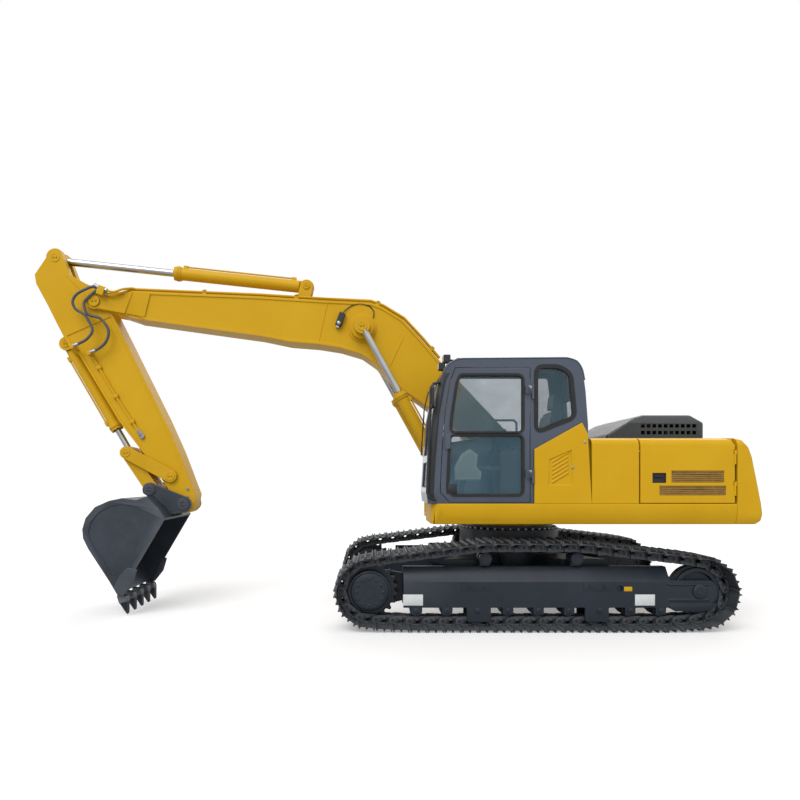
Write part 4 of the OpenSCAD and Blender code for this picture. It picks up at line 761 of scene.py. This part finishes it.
# Undercarriage: bolts, covers and blank plates
DRIVE_Y = 165
RING_R, RING_TOP, RING_BOLTS = 603, 1070, 40
ROLLER_COUNT = 9
ring_bolts = bmesh.new()
for k in range(RING_BOLTS):
    t = math.tau * k / RING_BOLTS
    bolt(ring_bolts, (RING_R * math.cos(t), RING_R * math.sin(t), RING_TOP), (0, 0, 1), 30)
piece("slew_ring_bolts", ring_bolts, zinc_plate, "undercarriage")
covers, plates, tags = bmesh.new(), bmesh.new(), bmesh.new()
for side in SIDES:
    y = side * TRACK_Y
    face = y + side * DRIVE_Y
    for i in range(ROLLER_COUNT):
        x = FIRST_ROLLER + (LAST_ROLLER - FIRST_ROLLER) / (ROLLER_COUNT - 1) * i
        turned(covers, [(0, 30), (6, 30), (9, 24), (9, 12), (5, 10), (5, 0)], (x, face + side * 3, ROLLER_Z),
               (0, side, 0), steps=16)
    for x in (-CARRIER_X, CARRIER_X):
        turned(covers, [(0, 62), (8, 62), (14, 54), (14, 34), (20, 30), (20, 0)],
               (x, y + side * 108, CARRIER_Z), (0, side, 0))
        turned(covers, [(0, 62), (8, 62), (14, 54), (14, 0)], (x, y - side * 108, CARRIER_Z), (0, -side, 0))
    turned(covers, [(0, 78), (8, 78), (12, 72), (12, 44), (18, 40), (18, 0)],
           (IDLER[0], face + side * 9, IDLER[1]), (0, side, 0), steps=32)
    for x in (-890, 480):
        for dx in (80, 240):
            bolt(covers, (x + dx, face + side * 5, 493), (0, side, 0), 26)
    low, high = sorted((face - side, face + side * 1.5))
    for x in (1348, -1264):
        slab(plates, (x - 112, low, 279), (x + 112, high, 403), edge=0.6)
    slab(tags, (-1120, low, 440), (-1030, high, 490), edge=0.6)
skirt = [(-1529, 254), (-1529, 303), (-2036, 303), (-2062, 286), (-1990, 212), (-1610, 212)]
for side in SIDES:
    for inset in (112, -165):
        low, high = sorted((side * (TRACK_Y + inset), side * (TRACK_Y + inset + 53)))
        prism(covers, skirt, low, high, edge=6)
piece("undercarriage_covers", covers, chassis_satin, "undercarriage")
piece("blank_side_plates", plates, blank_film, "undercarriage")
piece("blank_yellow_tags", tags, yellow_enamel, "undercarriage")

# House: vents and handles of the doors, the hood's baffle, locks and reflectors
HOUSE_Y = 1350


def on_vent(p):
    """Whether a face lies at the bottom of one of a door's two vents."""
    upper = -2159 < p.x < -1567 and 1664 < p.z < 1796
    lower = -2179 < p.x < -1432 and 1519 < p.z < 1626
    return HOUSE_Y - 18 < abs(p.y) < HOUSE_Y - 0.5 and (upper or lower)


def on_handle(p):
    """Whether a face lies in a door's handle pocket."""
    return HOUSE_Y - 30 < abs(p.y) < HOUSE_Y - 0.5 and -1504 < p.x < -1352 and 1659 < p.z < 1771


for node in ("service_door", "pump_door"):
    # The vents' bottoms take the vent sheet, whose darker yellow is painted shade for its holes.
    repaint(skins[node], vent_sheet_painted_shade, MACHINE, on_vent)
    repaint(skins[node], black_plastic, MACHINE, on_handle)
low, high = box_mm("hood")
baffle = bmesh.new()
slab(baffle, (low.x + 90, -6, low.z + 40), (low.x + 800, 6, high.z - 80), edge=4)
piece("hood_baffle", baffle, hood_grey, "hood_body")
locks = bmesh.new()
for x, z in ((-452, 1832), (-592, 2120)):
    turned(locks, [(0, 15), (5, 15), (8, 11), (8, 5), (4, 5), (4, 0)], (x, HOUSE_Y, z), (0, 1, 0), steps=20)
piece("panel_locks", locks, zinc_plate, "house")
TAIL_REACH = 2886
red = bmesh.new()
for side in SIDES:
    spin = MACHINE @ Matrix.Rotation(math.pi - math.radians(19) * side, 4, "Z")
    slab(red, (TAIL_REACH - 40, -90, 1560), (TAIL_REACH, 90, 1620), spin, 6)
piece("rear_reflectors", red, red_lens, "house")

# Cab: gaskets, seals, trim, lamps, mirror, wiper, roof, seat and controls
CAB_REAR, CAB_OUT, CAB_FLOOR = -638, 1315, 1470
CAB_MID, DECK_TOP = 872.5, 1425
LEFT, RIGHT, REARWARD = Vector((0, 1, 0)), Vector((0, -1, 0)), Vector((-1, 0, 0))


def pane_loops(node, facing, bend_mm, past_mm=-math.inf):
    """Outlines, with round corners, of a node's panes that face one way and stand past a plane."""
    bm = bmesh.new()
    bm.from_mesh(frame["nodes"][node].data)
    bmesh.ops.remove_doubles(bm, verts=bm.verts, dist=0.02 * MM)
    bmesh.ops.dissolve_limit(bm, angle_limit=math.radians(0.5), verts=bm.verts, edges=bm.edges)
    loops = []
    for face in bm.faces:
        outside = face.calc_center_median().dot(facing) > past_mm * MM
        if outside and face.normal.dot(facing) > 0.97 and face.calc_area() > 0.04:
            corners = [v.co.copy() for v in face.verts]
            middle = (corners[-1] + corners[0]) / 2
            loops.append(rounded([middle, *corners, middle], bend_mm * MM))
    bm.free()
    return loops


def pane_seals(name, node, facing, body):
    """Rubber seals round the edges of the panes that face one way."""
    loops = pane_loops(node, facing, 45)
    return piece(name, tube_mesh(loops, 9), seal_rubber, body, smooth=50)


def gaskets(name, node, facing, body, width_mm, plane_mm):
    """Flat black rubber frames with round corners, laid on the cab's skin round the panes."""
    bm = bmesh.new()
    for loop in pane_loops(node, facing, 62, plane_mm - 60):
        inner = [p + facing * (plane_mm * MM - p.dot(facing)) for p in loop[1:-1]]
        near = [bm.verts.new(p) for p in inner]
        far = []
        for before, p, after in zip(inner[-1:] + inner[:-1], inner, inner[1:] + inner[:1]):
            far.append(bm.verts.new(p + (after - before).normalized().cross(facing) * width_mm * MM))
        for corners in zip(near, far, far[1:] + far[:1], near[1:] + near[:1]):
            bm.faces.new(corners)
    bm.normal_update()
    rim = bmesh.ops.extrude_face_region(bm, geom=bm.faces[:])["geom"]
    bmesh.ops.translate(bm, vec=facing * 6 * MM, verts=[v for v in rim if isinstance(v, bmesh.types.BMVert)])
    return piece(name, bm, seal_rubber, body, smooth=30)


gaskets("door_gaskets", "cab_door_glass", LEFT, "cab_door_body", 27, CAB_OUT + 2)
gaskets("left_gaskets", "cab_glass", LEFT, "house", 44, CAB_OUT + 2)
TRIM_WIDTH = 74
front_edge = [(1812, 60), (1822, 130), (1799, 510), (1759, 1000), (1686, 1385), (1640, 1480)]
front_edge = [(CAB_REAR + x, DECK_TOP + z) for x, z in front_edge]
trim = bmesh.new()
prism(trim, front_edge + [(x - TRIM_WIDTH, z) for x, z in front_edge[::-1]], CAB_OUT - 4, CAB_OUT + 3, edge=2)
piece("front_pillar_trim", trim, black_plastic, "house")
cover = bmesh.new()
prism(cover, [(860, 1690), (560, 1690), (552, 1780), (610, 1850), (596, 1985), (690, 2050), (790, 1985), (866, 1840)],
      1165, 1245, edge=30)
piece("console_cover", cover, seat_cloth, "house")
console_arm = bmesh.new()
slab(console_arm, (330, 1180, 1800), (620, 1230, 1850), edge=8)
piece("console_arm", console_arm, black_plastic, "house")

pane_seals("door_glass_seals", "cab_door_glass", LEFT, "cab_door_body")
pane_seals("left_glass_seals", "cab_glass", LEFT, "house")
pane_seals("right_glass_seals", "cab_glass", RIGHT, "house")
pane_seals("rear_glass_seals", "cab_glass", REARWARD, "house")

lamp_front = box_mm("cab_lamps")[1].x
repaint(skins["cab_lamps"], clear_lens, MACHINE, lambda p: p.x > lamp_front - 9)
low, high = box_mm("mirror_head")
mirror = bmesh.new()
slab(mirror, (low.x - 3, low.y + 10, low.z + 14), (low.x + 3, high.y - 10, high.z - 14), edge=2)
piece("mirror_glass", mirror, hard_chrome, "house")
wiper = [[(1108, 560, 2790), (1168, 660, 2560), (1196, 760, 2260)],
         [(1178, 760, 2480), (1196, 760, 2260), (1212, 760, 1990)]]
tubes("windscreen_wiper", wiper, 8, black_plastic, "house")
roof_z = box_mm("cab_roof")[1].z
hatch = bmesh.new()
slab(hatch, (-330, 600, roof_z - 6), (420, 1145, roof_z + 12), edge=6)
slab(hatch, (-290, 640, roof_z + 8), (380, 1105, roof_z + 16), edge=4)
piece("roof_hatch", hatch, graphite_enamel, "house")
gutter = [(40, 1400), (66, 1530), (124, 1618), (230, 1652), (1470, 1642), (1585, 1584), (1640, 1480)]
gutter = [(CAB_REAR + x, CAB_OUT - 2, DECK_TOP + z) for x, z in gutter]
tubes("roof_gutter", [gutter], 9, graphite_enamel, "house", MACHINE, 60)
guard = bmesh.new()
slab(guard, (850, CAB_OUT - 2, 1536), (968, CAB_OUT + 7, 1645), edge=3)
slab(guard, (866, CAB_OUT + 5, 1556), (952, CAB_OUT + 12, 1625), edge=4)
piece("door_step_guard", guard, black_plastic, "cab_door_body")


def settle(made):
    """Turns a piece and its modifiers into one plain mesh."""
    view = bpy.context.evaluated_depsgraph_get()
    mesh = bpy.data.meshes.new_from_object(made.evaluated_get(view))
    made.modifiers.clear()
    made.data = mesh


def cushion(name, outline, half, swell_mm):
    """A padded seat part: a plain block in even cells, blown up by pressure and capped."""
    bm = bmesh.new()
    prism(bm, outline, CAB_MID - half, CAB_MID + half, edge=24)
    made = piece(name, bm, seat_cloth, "house")
    cells = made.modifiers.new("cells", "REMESH")
    cells.mode = "VOXEL"
    cells.voxel_size = 9 * MM
    settle(made)
    start = [v.co.copy() for v in made.data.vertices]
    padding = made.modifiers.new("padding", "CLOTH")
    padding.settings.use_pressure = True
    padding.settings.uniform_pressure_force = 4
    padding.settings.effector_weights.gravity = 0
    for step in range(1, 21):
        scene.frame_set(step)
    settle(made)
    for v, at in zip(made.data.vertices, start):
        moved = v.co - at
        if moved.length > swell_mm * MM:
            v.co = at + moved.normalized() * swell_mm * MM
    scene.frame_set(1)
    made.data.shade_smooth()
    return made


cushion("seat_cushion", [(-300, 1800), (232, 1800), (232, 1880), (200, 1903), (-180, 1896), (-300, 1896)], 236, 14)
cushion("seat_back_cushion", [(-300, 1912), (-172, 1912), (-200, 2110), (-262, 2440), (-292, 2486), (-356, 2486),
                              (-330, 2100)], 228, 14)
cushion("head_cushion", [(-404, 2530), (-312, 2530), (-330, 2702), (-416, 2702)], 128, 10)
knobs, boots = bmesh.new(), bmesh.new()
lean = (10, 0, 181)
for side in SIDES:
    y = CAB_MID + side * 330
    turned(knobs, [(-72, 16), (-66, 24), (-20, 23), (10, 26), (40, 31), (58, 26), (66, 14), (68, 0)],
           (CAB_REAR + 930, y, CAB_FLOOR + 740), lean)
    turned(boots, [(0, 62), (10, 62), (18, 48), (26, 52), (36, 38), (44, 42), (54, 28), (62, 32), (80, 17)],
           (CAB_REAR + 920, y, CAB_FLOOR + 559), lean)
    turned(knobs, [(-34, 14), (-22, 24), (0, 30), (20, 24), (30, 10), (31, 0)],
           (CAB_REAR + 1290, CAB_MID + side * 90, CAB_FLOOR + 430), (-110, 0, 400))
    slab(boots, (CAB_REAR + 520, y - 54, CAB_FLOOR + 556), (CAB_REAR + 840, y + 54, CAB_FLOOR + 600), edge=18)
piece("lever_grips", knobs, black_plastic, "house")
piece("lever_boots_and_arm_pads", boots, seal_rubber, "house")
monitor = bmesh.new()
slab(monitor, (905, 500, 2080), (940, 690, 2225), edge=10)
slab(monitor, (918, 560, 1980), (934, 600, 2084), edge=5)
slab(monitor, (900, 470, 1940), (1010, 610, 1986), edge=8)
piece("cab_monitor", monitor, black_plastic, "house")
screen = bmesh.new()
slab(screen, (902, 516, 2096), (907, 674, 2209), edge=2)
piece("monitor_screen", screen, graphite_enamel, "house")
mat = bmesh.new()
slab(mat, (260, 520, CAB_FLOOR), (700, 1225, CAB_FLOOR + 10), edge=3)
piece("floor_mat", mat, seal_rubber, "house")
lining = bmesh.new()
slab(lining, (-430, 490, 3022), (700, 1255, 3036), edge=6)
piece("roof_lining", lining, trim_grey, "house")

# Floor, backdrop and light: a white room, and two broad soft lamps
world = bpy.data.worlds.new("white_room")
scene.world = world
world.use_nodes = True
tree = world.node_tree
rays = add(tree, "LightPath")
shown = add(tree, "Math", {0: rays.outputs["Is Camera Ray"], 1: rays.outputs["Is Transmission Ray"]},
            operation="MAXIMUM")
shown = add(tree, "Math", {0: shown.outputs[0], 1: rays.outputs["Is Glossy Ray"]}, operation="MAXIMUM")
level = add(tree, "MapRange", {0: shown.outputs[0], 3: 0.76, 4: 1.0})
tree.links.new(level.outputs[0], tree.nodes["Background"].inputs["Strength"])
tree.nodes["Background"].inputs["Color"].default_value = (1, 1, 1, 1)

floor_bm = bmesh.new()
bmesh.ops.create_grid(floor_bm, x_segments=1, y_segments=1, size=60)
floor_mesh = bpy.data.meshes.new("floor")
floor_bm.to_mesh(floor_mesh)
floor_bm.free()
floor = bpy.data.objects.new("floor", floor_mesh)
scene.collection.objects.link(floor)
paper = bpy.data.materials.new("white_paper_floor")
paper.use_nodes = True
tree = paper.node_tree
rays = add(tree, "LightPath")
shown = add(tree, "Math", {0: rays.outputs["Is Camera Ray"], 1: rays.outputs["Is Transmission Ray"]},
            operation="MAXIMUM")
matt = add(tree, "BsdfDiffuse", {"Color": (0.44, 0.44, 0.44, 1)})
faint = add(tree, "BsdfDiffuse", {"Color": (0.68, 0.68, 0.68, 1)})
glow = add(tree, "Emission", {"Strength": 0.28})
bright = add(tree, "AddShader", {0: faint.outputs[0], 1: glow.outputs[0]})
floor_look = add(tree, "MixShader", {0: shown.outputs[0], 1: matt.outputs[0], 2: bright.outputs[0]})
tree.links.new(floor_look.outputs[0], tree.nodes["Material Output"].inputs["Surface"])
floor_mesh.materials.append(paper)


def lamp(name, strength, toward, spread):
    """A broad soft sun; spread is its angle in degrees."""
    sun = bpy.data.lights.new(name, "SUN")
    sun.energy = strength
    sun.angle = math.radians(spread)
    made = bpy.data.objects.new(name, sun)
    made.rotation_mode = "QUATERNION"
    made.rotation_quaternion = Vector(toward).to_track_quat("-Z", "Y")
    scene.collection.objects.link(made)


lamp("key_lamp", 1.75, (-0.35, -0.75, -0.85), 40)
lamp("back_lamp", 0.7, (0.4, 0.9, -0.9), 50)
